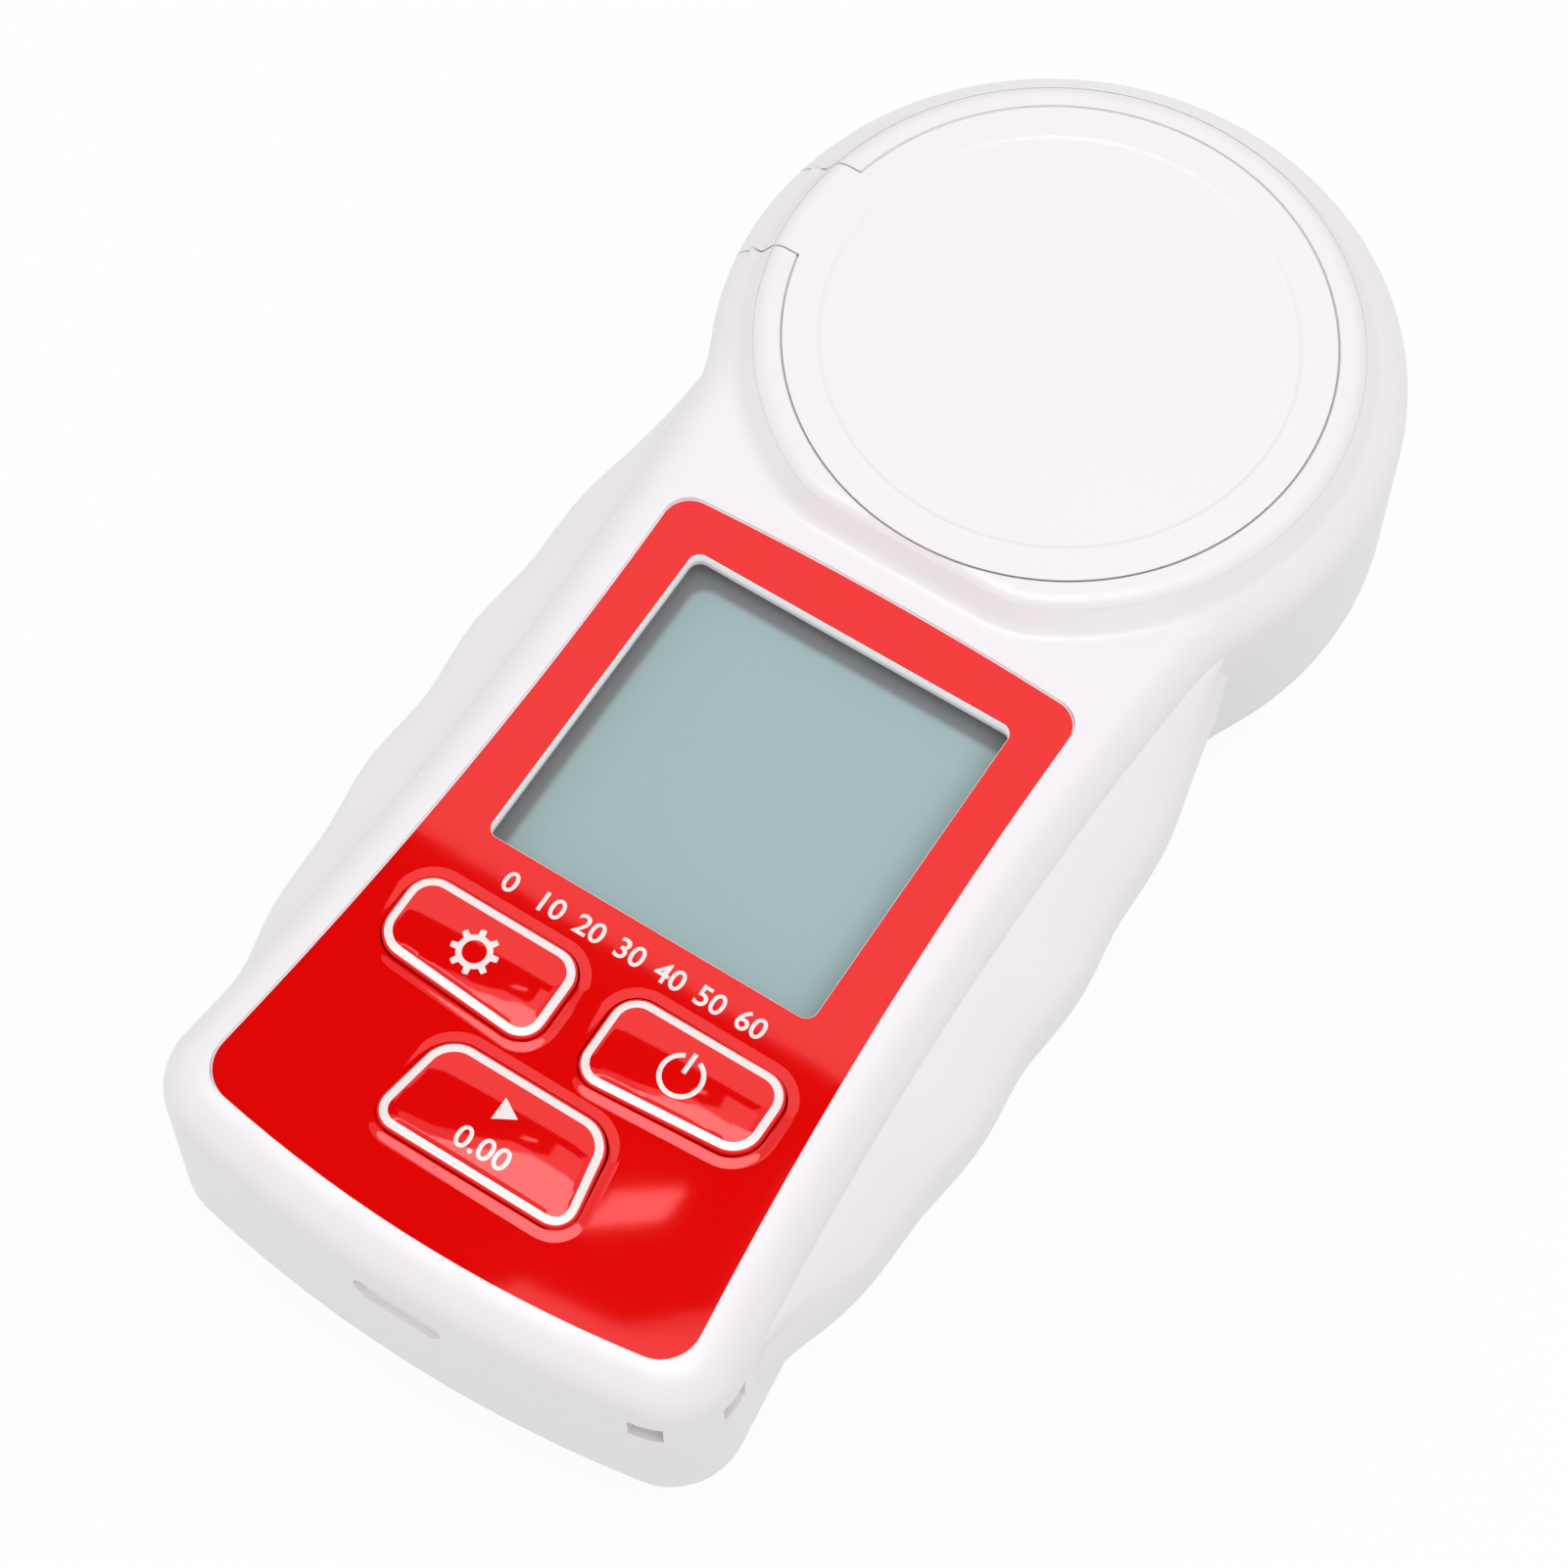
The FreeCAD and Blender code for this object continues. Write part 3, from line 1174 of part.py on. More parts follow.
def build_all():
    shell = outside()
    outlines = dict(zip(("settings", "power", "test"), key_outlines()))
    pieces = {
        "upper_case": [upper_case(shell)],
        "lower_case": [lower_case(shell)],
        "case_seal": [case_seal()],
        "case_screws": case_screws(),
        "sample_lid": [sample_lid(shell)],
        "lid_seal": [lid_seal()],
        "hinge_pin": [hinge_pin()],
        "sample_stage": [sample_stage()],
        "stage_seal": [stage_seal()],
        "prism": [prism_glass()],
        "prism_seal": [prism_seal()],
        "optics_housing": [optics_housing()],
        "optics_screws": optics_screws(),
        "lens": [lens()],
        "light_source": [light_source()],
        "lamp_board": [lamp_board()],
        "sensor_board": [sensor_board()],
        "image_sensor": [image_sensor()],
        "temperature_sensor": [temperature_sensor()],
        "sensor_cable": [flat_cable(1, HEAD_Y - SENSOR_BOARD_W / 4)],
        "lamp_cable": [flat_cable(-1, HEAD_Y - LAMP_BOARD_W / 4)],
        "cable_sockets": cable_sockets(),
        "front_film": [front_film()],
        "display_window": [display_window()],
        "display_panel": [display_panel()],
        "display_holder": [display_holder()],
        "display_strips": display_strips(),
        "main_board": [main_board()],
        "board_screws": board_screws(),
        "key_switches": key_switches(),
        "microcontroller": [microcontroller()],
        "board_parts": board_parts(),
        "buzzer": [buzzer()],
        "crystal": [crystal()],
        "battery_left": [battery(-1)],
        "battery_right": [battery(1)],
        "contact_plates": contact_plates(),
        "contact_buttons": contact_buttons(),
        "battery_springs": battery_springs(),
        "battery_door": [battery_door()],
    }
    for name, points in outlines.items():
        pieces[name + "_key"] = [key(points)]
        pieces[name + "_plunger"] = [plunger(points)]
    return pieces


def main():
    os.makedirs("parts", exist_ok=True)
    for name, solids in build_all().items():
        shape = group(solids)
        shape.exportStep("parts/%s.step" % name)
        print(name, shape.isValid(), len(shape.Solids), round(shape.Volume, 2))


main()
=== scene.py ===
# %% [markdown]
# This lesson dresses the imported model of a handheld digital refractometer: a white
# moulded case with a round lid over its sample well, a red front film, a sunken
# display and three domed keys. The solid parts come from the CAD model and stay
# where they are. Everything below adds finishes and the small visible details.

import math

import bmesh
import bpy
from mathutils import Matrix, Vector


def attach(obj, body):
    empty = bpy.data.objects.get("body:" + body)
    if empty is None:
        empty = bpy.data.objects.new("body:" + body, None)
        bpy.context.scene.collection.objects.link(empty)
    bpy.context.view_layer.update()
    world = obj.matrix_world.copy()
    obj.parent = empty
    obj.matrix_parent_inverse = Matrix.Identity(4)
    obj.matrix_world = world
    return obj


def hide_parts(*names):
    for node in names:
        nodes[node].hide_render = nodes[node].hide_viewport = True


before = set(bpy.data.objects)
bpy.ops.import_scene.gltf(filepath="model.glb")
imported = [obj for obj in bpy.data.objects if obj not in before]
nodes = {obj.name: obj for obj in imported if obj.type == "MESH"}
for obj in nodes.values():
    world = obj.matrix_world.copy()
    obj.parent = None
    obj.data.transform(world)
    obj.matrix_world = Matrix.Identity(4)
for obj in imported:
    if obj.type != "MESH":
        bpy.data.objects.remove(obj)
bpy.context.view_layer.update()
scene = bpy.context.scene

# %% [markdown]
# The photograph is taken from above the tail's right corner with a long lens. The
# camera was found from the round lid seam and the display window, so its place,
# turn and lens are plain numbers here. All lengths in the file are metres, so a
# helper turns the millimetres of the drawing into metres.

# %% Camera
MM = 0.001


def mm(*values):
    """Millimetres of the drawing as metres of the scene."""
    return tuple(value * MM for value in values)


bpy.ops.object.camera_add(location=mm(81.41, -136.87, 319.58))
camera = bpy.context.object
camera.name = "camera"
camera.rotation_euler = [math.radians(a) for a in (26.452, -0.182, 32.701)]
camera.data.sensor_width = 36
camera.data.lens = 99.86
camera.data.clip_start = 0.01
scene.camera = camera
scene.view_settings.view_transform = "Standard"
print("camera", tuple(round(c, 4) for c in camera.location), "lens", camera.data.lens)

# %% [markdown]
# Operators act on whatever is selected, so each step starts from an empty
# selection. The helpers below pick faces, edges or corners of the active mesh by
# a test on their place, the way one would click them by hand.

# %% Selection helpers


def start_fresh():
    if bpy.context.object and bpy.context.object.mode != "OBJECT":
        bpy.ops.object.mode_set(mode="OBJECT")
    bpy.ops.object.select_all(action="DESELECT")


def only(piece):
    start_fresh()
    piece.select_set(True)
    bpy.context.view_layer.objects.active = piece


def pick(kind, test):
    """Select verts, edges or faces of the mesh in edit mode by their middle point."""
    piece = bpy.context.edit_object
    modes = {"verts": "VERT", "edges": "EDGE", "faces": "FACE"}
    bpy.ops.mesh.select_mode(type=modes[kind])
    bpy.ops.mesh.select_all(action="DESELECT")
    mesh = bmesh.from_edit_mesh(piece.data)
    found = 0
    for item in getattr(mesh, kind):
        if kind == "verts":
            place = item.co
        elif kind == "edges":
            place = (item.verts[0].co + item.verts[1].co) / 2
        else:
            place = item.calc_center_median()
        if test(place):
            item.select_set(True)
            found += 1
    mesh.select_flush_mode()
    bmesh.update_edit_mesh(piece.data)
    return found


def finish_piece(piece, name, materials, angle=35):
    """Name a modelled piece, bake its place into its mesh and shade it."""
    only(piece)
    piece.name = name
    piece.data.name = name
    bpy.ops.object.transform_apply(location=True, rotation=True, scale=True)
    for place, material in enumerate(materials):
        if place < len(piece.material_slots):
            piece.material_slots[place].material = material
        else:
            piece.data.materials.append(material)
    bpy.ops.object.shade_smooth_by_angle(angle=math.radians(angle))
    print(name, len(piece.data.polygons), "faces")


print("helpers ready")

# %% [markdown]
# Moulded plastic is never perfectly even: the tool leaves a fine skin, and the
# gloss changes a little from place to place. One node group makes that skin for
# every plastic part. It gives a colour that is a little darker in places, a
# roughness and a height for the bump, and each material sets its own amounts.

# %% Node group for a moulded skin


def new_group(name, inputs, outputs):
    tree = bpy.data.node_groups.new(name, "ShaderNodeTree")
    for label, kind, value in inputs:
        socket = tree.interface.new_socket(label, in_out="INPUT", socket_type=kind)
        socket.default_value = value
    for label, kind in outputs:
        tree.interface.new_socket(label, in_out="OUTPUT", socket_type=kind)
    return tree, tree.nodes.new("NodeGroupInput"), tree.nodes.new("NodeGroupOutput")


def add_node(tree, kind, **values):
    node = tree.nodes.new(kind)
    for key, value in values.items():
        setattr(node, key, value)
    return node


def stretch(tree, source, low, high):
    """Map a 0 to 1 value onto the range between two sockets or numbers."""
    node = add_node(tree, "ShaderNodeMapRange")
    tree.links.new(source, node.inputs["Value"])
    for label, value in (("To Min", low), ("To Max", high)):
        if isinstance(value, (int, float)):
            node.inputs[label].default_value = value
        else:
            tree.links.new(value, node.inputs[label])
    return node.outputs["Result"]


def math_node(tree, kind, first, second=None):
    """Arithmetic on numbers or sockets, giving the socket with the result."""
    node = add_node(tree, "ShaderNodeMath", operation=kind)
    for value, socket in zip((first, second), node.inputs):
        if isinstance(value, (int, float)):
            socket.default_value = value
        elif value is not None:
            tree.links.new(value, socket)
    return node.outputs[0]


FLOAT = "NodeSocketFloat"
COLOR = "NodeSocketColor"


def moulded_skin_group():
    tree, given, out = new_group(
        "moulded_skin",
        [("Color", COLOR, (0.8, 0.8, 0.8, 1)), ("Variation", FLOAT, 0.03), ("Roughness", FLOAT, 0.3),
         ("Unevenness", FLOAT, 0.05), ("Grain", FLOAT, 900.0)],
        [("Color", COLOR), ("Roughness", FLOAT), ("Height", FLOAT)])
    place = add_node(tree, "ShaderNodeTexCoord").outputs["Object"]
    cloud = add_node(tree, "ShaderNodeTexNoise")
    cloud.inputs["Scale"].default_value = 60
    cloud.inputs["Detail"].default_value = 3
    tree.links.new(place, cloud.inputs["Vector"])
    grain = add_node(tree, "ShaderNodeTexNoise")
    grain.inputs["Detail"].default_value = 2
    tree.links.new(place, grain.inputs["Vector"])
    tree.links.new(given.outputs["Grain"], grain.inputs["Scale"])
    darkest = math_node(tree, "SUBTRACT", 1.0, given.outputs["Variation"])
    tone = stretch(tree, cloud.outputs["Fac"], darkest, 1.0)
    tint = add_node(tree, "ShaderNodeVectorMath", operation="SCALE")
    tree.links.new(given.outputs["Color"], tint.inputs[0])
    tree.links.new(tone, tint.inputs["Scale"])
    roughest = math_node(tree, "ADD", given.outputs["Roughness"], given.outputs["Unevenness"])
    rough = stretch(tree, cloud.outputs["Fac"], given.outputs["Roughness"], roughest)
    tree.links.new(tint.outputs[0], out.inputs["Color"])
    tree.links.new(rough, out.inputs["Roughness"])
    tree.links.new(grain.outputs["Fac"], out.inputs["Height"])
    return tree


moulded_skin = moulded_skin_group()
print("group", moulded_skin.name)

# %% [markdown]
# Steel dishes and screws are turned or pressed, and their surface shows fine
# circles. A second group measures the distance from an upright axis and turns it
# into thin rings of smoother and rougher metal. Its centre is an input, so the same
# group serves the sample dish and any round metal part.

# %% Node group for turned metal


def turned_metal_group():
    tree, given, out = new_group(
        "turned_metal",
        [("Centre X", FLOAT, 0.0), ("Centre Y", FLOAT, 0.0), ("Rings", FLOAT, 4000.0),
         ("Smoothest", FLOAT, 0.2), ("Roughest", FLOAT, 0.35)],
        [("Roughness", FLOAT), ("Height", FLOAT)])
    place = add_node(tree, "ShaderNodeTexCoord").outputs["Object"]
    split = add_node(tree, "ShaderNodeSeparateXYZ")
    tree.links.new(place, split.inputs[0])
    squares = []
    for axis in ("X", "Y"):
        offset = math_node(tree, "SUBTRACT", split.outputs[axis], given.outputs["Centre " + axis])
        squares.append(math_node(tree, "MULTIPLY", offset, offset))
    distance = math_node(tree, "SQRT", math_node(tree, "ADD", *squares))
    ring_noise = add_node(tree, "ShaderNodeTexNoise", noise_dimensions="1D")
    ring_noise.inputs["Detail"].default_value = 2
    tree.links.new(distance, ring_noise.inputs["W"])
    tree.links.new(given.outputs["Rings"], ring_noise.inputs["Scale"])
    rough = stretch(tree, ring_noise.outputs["Fac"], given.outputs["Smoothest"], given.outputs["Roughest"])
    tree.links.new(rough, out.inputs["Roughness"])
    tree.links.new(ring_noise.outputs["Fac"], out.inputs["Height"])
    return tree


turned_metal = turned_metal_group()
print("group", turned_metal.name)

# %% [markdown]
# A material here is one Principled shader with a group in front of it. Plastic
# takes its colour, roughness and bump from the moulded skin, while the coat and
# other constants are set on the shader itself. Metal has one colour and takes its
# roughness and bump from the turned rings.

# %% Plastic and metal materials


def new_material(name, sockets):
    material = bpy.data.materials.new(name)
    material.use_nodes = True
    shader = material.node_tree.nodes["Principled BSDF"]
    for label, value in sockets.items():
        shader.inputs[label].default_value = value
    return material, material.node_tree, shader


def place_group(tree, group, values):
    node = add_node(tree, "ShaderNodeGroup", node_tree=group)
    for label, value in values.items():
        node.inputs[label].default_value = value
    return node


def link_bump(tree, shader, height, depth):
    bump = add_node(tree, "ShaderNodeBump")
    bump.inputs["Strength"].default_value = 1
    bump.inputs["Distance"].default_value = depth
    tree.links.new(height, bump.inputs["Height"])
    tree.links.new(bump.outputs["Normal"], shader.inputs["Normal"])


def plastic(name, color, roughness, variation=0.03, uneven=0.06, grain=900.0, depth=4e-6, **sockets):
    sockets = {label.replace("_", " "): value for label, value in sockets.items()}
    material, tree, shader = new_material(name, sockets)
    skin = place_group(tree, moulded_skin, {"Color": (*color, 1), "Variation": variation,
                                            "Roughness": roughness, "Unevenness": uneven, "Grain": grain})
    tree.links.new(skin.outputs["Color"], shader.inputs["Base Color"])
    tree.links.new(skin.outputs["Roughness"], shader.inputs["Roughness"])
    link_bump(tree, shader, skin.outputs["Height"], depth)
    print("material", name)
    return material


def metal(name, color, centre, rings, smoothest, roughest):
    material, tree, shader = new_material(name, {"Base Color": (*color, 1), "Metallic": 1.0})
    turned = place_group(tree, turned_metal, {"Centre X": centre[0], "Centre Y": centre[1], "Rings": rings,
                                              "Smoothest": smoothest, "Roughest": roughest})
    tree.links.new(turned.outputs["Roughness"], shader.inputs["Roughness"])
    link_bump(tree, shader, turned.outputs["Height"], 1e-6)
    print("material", name)
    return material


white_shell = plastic("white_shell", (0.872, 0.838, 0.864), 0.36, 0.012, 0.06, 1400.0, 1.5e-6,
                      Coat_Weight=0.12, Coat_Roughness=0.25)
lid_white = plastic("lid_white", (0.885, 0.85, 0.872), 0.36, 0.01, 0.05, 1400.0, 1e-6)
red_film = plastic("red_film", (0.865, 0.0028, 0.0024), 0.025, 0.03, 0.015, 350.0, 1e-6, Metallic=0.1)
red_key = plastic("red_key", (0.865, 0.0028, 0.0024), 0.03, 0.03, 0.015, 350.0, 1e-6, Metallic=0.1)
film_print = plastic("film_print", (0.93, 0.83, 0.82), 0.12, 0.02, 0.05, 1500.0, 1e-6)
black_plastic = plastic("black_plastic", (0.018, 0.018, 0.02), 0.35, 0.2, 0.15, 1200.0, 6e-6)
inner_plastic = plastic("inner_plastic", (0.5, 0.5, 0.5), 0.4, 0.05, 0.1, 1200.0, 6e-6)
seal_rubber = plastic("seal_rubber", (0.09, 0.09, 0.095), 0.6, 0.2, 0.2, 2500.0, 1e-5)
chip_black = plastic("chip_black", (0.012, 0.012, 0.013), 0.45, 0.3, 0.2, 6000.0, 8e-6)
cable_film = plastic("cable_film", (0.75, 0.42, 0.1), 0.3, 0.1, 0.1, 2000.0, 4e-6)
dish_steel = metal("steel", (0.72, 0.72, 0.71), mm(0, 32.4), 5200.0, 0.16, 0.34)
screw_steel = metal("screw_steel", (0.55, 0.55, 0.56), (0, 0), 3500.0, 0.25, 0.45)
contact_metal = metal("contact_metal", (0.83, 0.8, 0.72), (0, 0), 3000.0, 0.2, 0.4)

# %% [markdown]
# Glass parts are clear, so their looks come from what lies behind them. The thin
# pane over the display is almost invisible apart from its gloss, and a low alpha
# keeps the display behind it evenly lit. The prism and the lens are solid optical
# glass and use real transmission with a high index.

# %% Glass and display materials


def clear_glass(name, tint, index, transmission, alpha=1.0, roughness=0.01):
    material, tree, shader = new_material(
        name, {"IOR": index, "Transmission Weight": transmission, "Alpha": alpha})
    skin = place_group(tree, moulded_skin, {"Color": (*tint, 1), "Variation": 0.02, "Roughness": roughness,
                                            "Unevenness": 0.015, "Grain": 200.0})
    tree.links.new(skin.outputs["Color"], shader.inputs["Base Color"])
    tree.links.new(skin.outputs["Roughness"], shader.inputs["Roughness"])
    print("material", name)
    return material


clear_pane = clear_glass("clear_pane", (0.9, 0.94, 0.95), 1.49, 0.0, 0.06, 0.02)
prism_glass = clear_glass("prism_glass", (0.97, 0.99, 1.0), 1.72, 1.0)
lens_glass = clear_glass("lens_glass", (0.98, 0.99, 1.0), 1.52, 1.0)

# %% [markdown]
# The panel sits deep under its window, and the window's walls shade it along the
# top and the left side. That shade is painted into the panel's colour. The group
# below measures how far a point lies outside a rounded rectangle, and the panel's
# colour turns dark over a short distance at that line. The rectangle reaches past
# the right and lower sides, so only the top and the left get the painted shadow.

# %% Display panel with a painted shadow along two sides


def rounded_area_group():
    tree, given, out = new_group(
        "rounded_area",
        [("Centre X", FLOAT, 0.0), ("Centre Y", FLOAT, 0.0), ("Half X", FLOAT, 0.01),
         ("Half Y", FLOAT, 0.01), ("Corner", FLOAT, 0.001), ("Blur", FLOAT, 0.0003)],
        [("Outside", FLOAT)])
    place = add_node(tree, "ShaderNodeTexCoord").outputs["Object"]
    split = add_node(tree, "ShaderNodeSeparateXYZ")
    tree.links.new(place, split.inputs[0])
    squares = []
    for axis in ("X", "Y"):
        offset = math_node(tree, "SUBTRACT", split.outputs[axis], given.outputs["Centre " + axis])
        straight = math_node(tree, "SUBTRACT", given.outputs["Half " + axis], given.outputs["Corner"])
        over = math_node(tree, "SUBTRACT", math_node(tree, "ABSOLUTE", offset), straight)
        over = math_node(tree, "MAXIMUM", over, 0.0)
        squares.append(math_node(tree, "MULTIPLY", over, over))
    reach = math_node(tree, "SQRT", math_node(tree, "ADD", *squares))
    past = math_node(tree, "SUBTRACT", reach, given.outputs["Corner"])
    share = math_node(tree, "DIVIDE", past, given.outputs["Blur"])
    share = math_node(tree, "ADD", share, 0.5)
    soft = add_node(tree, "ShaderNodeMapRange", interpolation_type="SMOOTHSTEP")
    tree.links.new(share, soft.inputs["Value"])
    tree.links.new(soft.outputs["Result"], out.inputs["Outside"])
    return tree


rounded_area = rounded_area_group()


def display_material():
    material, tree, shader = new_material("display_glass", {"Specular IOR Level": 0.05})
    skin = place_group(tree, moulded_skin, {"Color": (0.343, 0.482, 0.494, 1), "Variation": 0.03,
                                            "Roughness": 0.35, "Unevenness": 0.05, "Grain": 4000.0})
    painted_shadow_mask = place_group(tree, rounded_area, {"Centre X": 1.5 * MM, "Centre Y": -14.8 * MM,
                                           "Half X": 15.0 * MM, "Half Y": 15.15 * MM,
                                           "Corner": 1.5 * MM, "Blur": 0.8 * MM})
    # Painted shadow: outside the rectangle the panel's colour turns dark grey, along the top and the left
    # side.
    mix = add_node(tree, "ShaderNodeMix", data_type="RGBA")
    mix.inputs["B"].default_value = (0.165, 0.172, 0.178, 1)
    tree.links.new(painted_shadow_mask.outputs["Outside"], mix.inputs["Factor"])
    tree.links.new(skin.outputs["Color"], mix.inputs["A"])
    tree.links.new(mix.outputs["Result"], shader.inputs["Base Color"])
    tree.links.new(skin.outputs["Roughness"], shader.inputs["Roughness"])
    link_bump(tree, shader, skin.outputs["Height"], 1e-6)
    print("material display_glass")
    return material


display_glass = display_material()

# %% [markdown]
# A circuit board is a green lacquer over copper tracks. The tracks are drawn with
# two wave patterns at right angles, and a pattern of cells chooses between them,
# so that runs start and stop. They show only when the part is opened.

# %% Circuit board material


def board_material():
    material, tree, shader = new_material("board_green", {"Coat Weight": 0.4, "Coat Roughness": 0.15})
    place = add_node(tree, "ShaderNodeTexCoord").outputs["Object"]
    tracks = []
    for direction in ("X", "Y"):
        wave = add_node(tree, "ShaderNodeTexWave", bands_direction=direction)
        wave.inputs["Scale"].default_value = 250
        tree.links.new(place, wave.inputs["Vector"])
        tracks.append(wave.outputs["Fac"])
    patches = add_node(tree, "ShaderNodeTexVoronoi", feature="F1")
    patches.inputs["Scale"].default_value = 160
    tree.links.new(place, patches.inputs["Vector"])
    choose = math_node(tree, "GREATER_THAN", patches.outputs["Color"], 0.5)
    mix = add_node(tree, "ShaderNodeMix", data_type="FLOAT")
    tree.links.new(choose, mix.inputs["Factor"])
    tree.links.new(tracks[0], mix.inputs["A"])
    tree.links.new(tracks[1], mix.inputs["B"])
    edge = add_node(tree, "ShaderNodeValToRGB")
    edge.color_ramp.elements[0].position = 0.62
    edge.color_ramp.elements[0].color = (0.006, 0.075, 0.028, 1)
    edge.color_ramp.elements[1].position = 0.7
    edge.color_ramp.elements[1].color = (0.02, 0.19, 0.07, 1)
    tree.links.new(mix.outputs["Result"], edge.inputs["Fac"])
    tree.links.new(edge.outputs["Color"], shader.inputs["Base Color"])
    shader.inputs["Roughness"].default_value = 0.35
    print("material board_green")
    return material


board_green = board_material()

# %% [markdown]
# The cells have a wrapped jacket in two colours: a long dark part and a short band
# at the positive end. The colours change at fixed places along the cell, so a
# colour ramp with hard steps along the Y coordinate is enough. The left cell points
# up and the right one down, so each gets its own band.

# %% Battery jackets
CELL_MIDDLE_Y = -29.0
CELL_HALF = 21.8


def jacket(name, plus_side):
    material, tree, shader = new_material(name, {"Coat Weight": 0.6, "Coat Roughness": 0.1})
    place = add_node(tree, "ShaderNodeTexCoord").outputs["Object"]
    split = add_node(tree, "ShaderNodeSeparateXYZ")
    tree.links.new(place, split.inputs[0])
    height = add_node(tree, "ShaderNodeMapRange")
    height.inputs["From Min"].default_value = (CELL_MIDDLE_Y - plus_side * CELL_HALF) * MM
    height.inputs["From Max"].default_value = (CELL_MIDDLE_Y + plus_side * CELL_HALF) * MM
    tree.links.new(split.outputs["Y"], height.inputs["Value"])
    ramp = add_node(tree, "ShaderNodeValToRGB")
    ramp.color_ramp.interpolation = "CONSTANT"
    stops = ((0.0, (0.55, 0.55, 0.56)), (0.015, (0.02, 0.022, 0.03)), (0.74, (0.75, 0.36, 0.08)),
             (0.985, (0.6, 0.6, 0.61)))
    ramp.color_ramp.elements.remove(ramp.color_ramp.elements[1])
    for place_at, color in stops:
        stop = ramp.color_ramp.elements.new(place_at) if place_at else ramp.color_ramp.elements[0]
        stop.color = (*color, 1)
    tree.links.new(height.outputs["Result"], ramp.inputs["Fac"])
    tree.links.new(ramp.outputs["Color"], shader.inputs["Base Color"])
    skin = place_group(tree, moulded_skin, {"Roughness": 0.2, "Unevenness": 0.1, "Grain": 900.0})
    tree.links.new(skin.outputs["Roughness"], shader.inputs["Roughness"])
    link_bump(tree, shader, skin.outputs["Height"], 2e-6)
    print("material", name)
    return material


jacket_left = jacket("cell_jacket_left", 1)
jacket_right = jacket("cell_jacket_right", -1)

# %% [markdown]
# Every CAD node now gets its finish. The list goes from material to node names,
# so a glance shows what is made of what, and the loop fills all slots of a node.

# %% Materials of the CAD nodes
finishes = {
    white_shell: ["upper_case", "lower_case", "battery_door"],
    lid_white: ["sample_lid"],
    red_film: ["front_film"],
    red_key: ["settings_key", "power_key", "test_key"],
    clear_pane: ["display_window"],
    display_glass: ["display_panel"],
    prism_glass: ["prism"],
    lens_glass: ["lens"],
    dish_steel: ["sample_stage"],
    screw_steel: ["case_screws", "board_screws", "optics_screws", "hinge_pin", "crystal"],
    black_plastic: ["optics_housing", "key_switches", "buzzer", "temperature_sensor"],
    inner_plastic: ["display_holder", "cable_sockets", "settings_plunger", "power_plunger", "test_plunger"],
    seal_rubber: ["case_seal", "lid_seal", "stage_seal", "prism_seal", "display_strips"],
    board_green: ["main_board", "lamp_board", "sensor_board"],
    chip_black: ["microcontroller", "board_parts", "image_sensor", "light_source"],
    contact_metal: ["contact_plates", "contact_buttons", "battery_springs"],
    cable_film: ["sensor_cable", "lamp_cable"],
    jacket_left: ["battery_left"],
    jacket_right: ["battery_right"],
}
for material, names in finishes.items():
    for name in names:
        node = nodes[name]
        if not node.material_slots:
            node.data.materials.append(material)
        for slot in node.material_slots:
            slot.material = material
dressed = sum(len(names) for names in finishes.values())
print("nodes with a finish:", dressed, "of", len(nodes))

# %% [markdown]
# The film is one sheet that is pressed up around each key. The three soft collars
# are modelled one after another: a flat plate gets the key's corners, its corners
# are rounded with a vertex bevel, and inset steps with a little depth walk up the
# slope. The last inner face is deleted, which leaves a ring.

# %% Outlines of the keys
FILM_Z = 22.15
KEY_TOP_Z = 22.6
KEY_CORNER = 2.4
outlines = {
    "settings": ((-16.8, -39.7), (-1.65, -40.8), (-1.65, -32.5), (-16.8, -32.5)),
    "power": ((1.65, -40.8), (16.8, -39.7), (16.8, -32.5), (1.65, -32.5)),
    "test": ((-9.1, -51.6), (9.1, -51.6), (7.5, -42.7), (-7.5, -42.7)),
}


def grown(corners, grow):
    """Four corners moved outwards by the same width along both axes."""
    middle_x = sum(c[0] for c in corners) / 4
    middle_y = sum(c[1] for c in corners) / 4
    return [(x + math.copysign(grow, x - middle_x), y + math.copysign(grow, y - middle_y))
            for x, y in corners]


def flat_outline(corners, z, radius):
    """Flat plate in edit mode with four moved and rounded corners."""
    xs = [c[0] for c in corners]
    ys = [c[1] for c in corners]
    middle = ((min(xs) + max(xs)) / 2, (min(ys) + max(ys)) / 2)
    width, height = max(xs) - min(xs), max(ys) - min(ys)
    start_fresh()
    bpy.ops.mesh.primitive_plane_add(size=MM, location=mm(middle[0], middle[1], z))
    bpy.ops.transform.resize(value=(width, height, 1))
    bpy.ops.object.transform_apply(location=True, rotation=True, scale=True)
    bpy.ops.object.mode_set(mode="EDIT")
    for x, y in corners:
        side = (x > middle[0], y > middle[1])
        pick("verts", lambda p: (p.x > middle[0] * MM, p.y > middle[1] * MM) == side)
        box_x = max(xs) if side[0] else min(xs)
        box_y = max(ys) if side[1] else min(ys)
        bpy.ops.transform.translate(value=mm(x - box_x, y - box_y, 0))
    bpy.ops.mesh.select_mode(type="VERT")
    bpy.ops.mesh.select_all(action="SELECT")
    bpy.ops.mesh.bevel(affect="VERTICES", offset_type="OFFSET", offset=radius * MM, segments=10)
    bpy.ops.mesh.select_mode(type="FACE")
    bpy.ops.mesh.select_all(action="SELECT")
    return bpy.context.object


def inset_steps(steps):
    """Walk inwards with (width, rise) steps, keeping the inner face selected."""
    for width, rise in steps:
        bpy.ops.mesh.inset(thickness=width * MM, depth=rise * MM, use_even_offset=True)


print("keys", sorted(outlines))

# %% Soft collars round the keys
COLLAR_W = 1.0
collar_steps = ((0.12, 0.005), (0.16, 0.015), (0.2, 0.025), (0.2, 0.025), (0.12, 0.01), (0.08, 0.0))


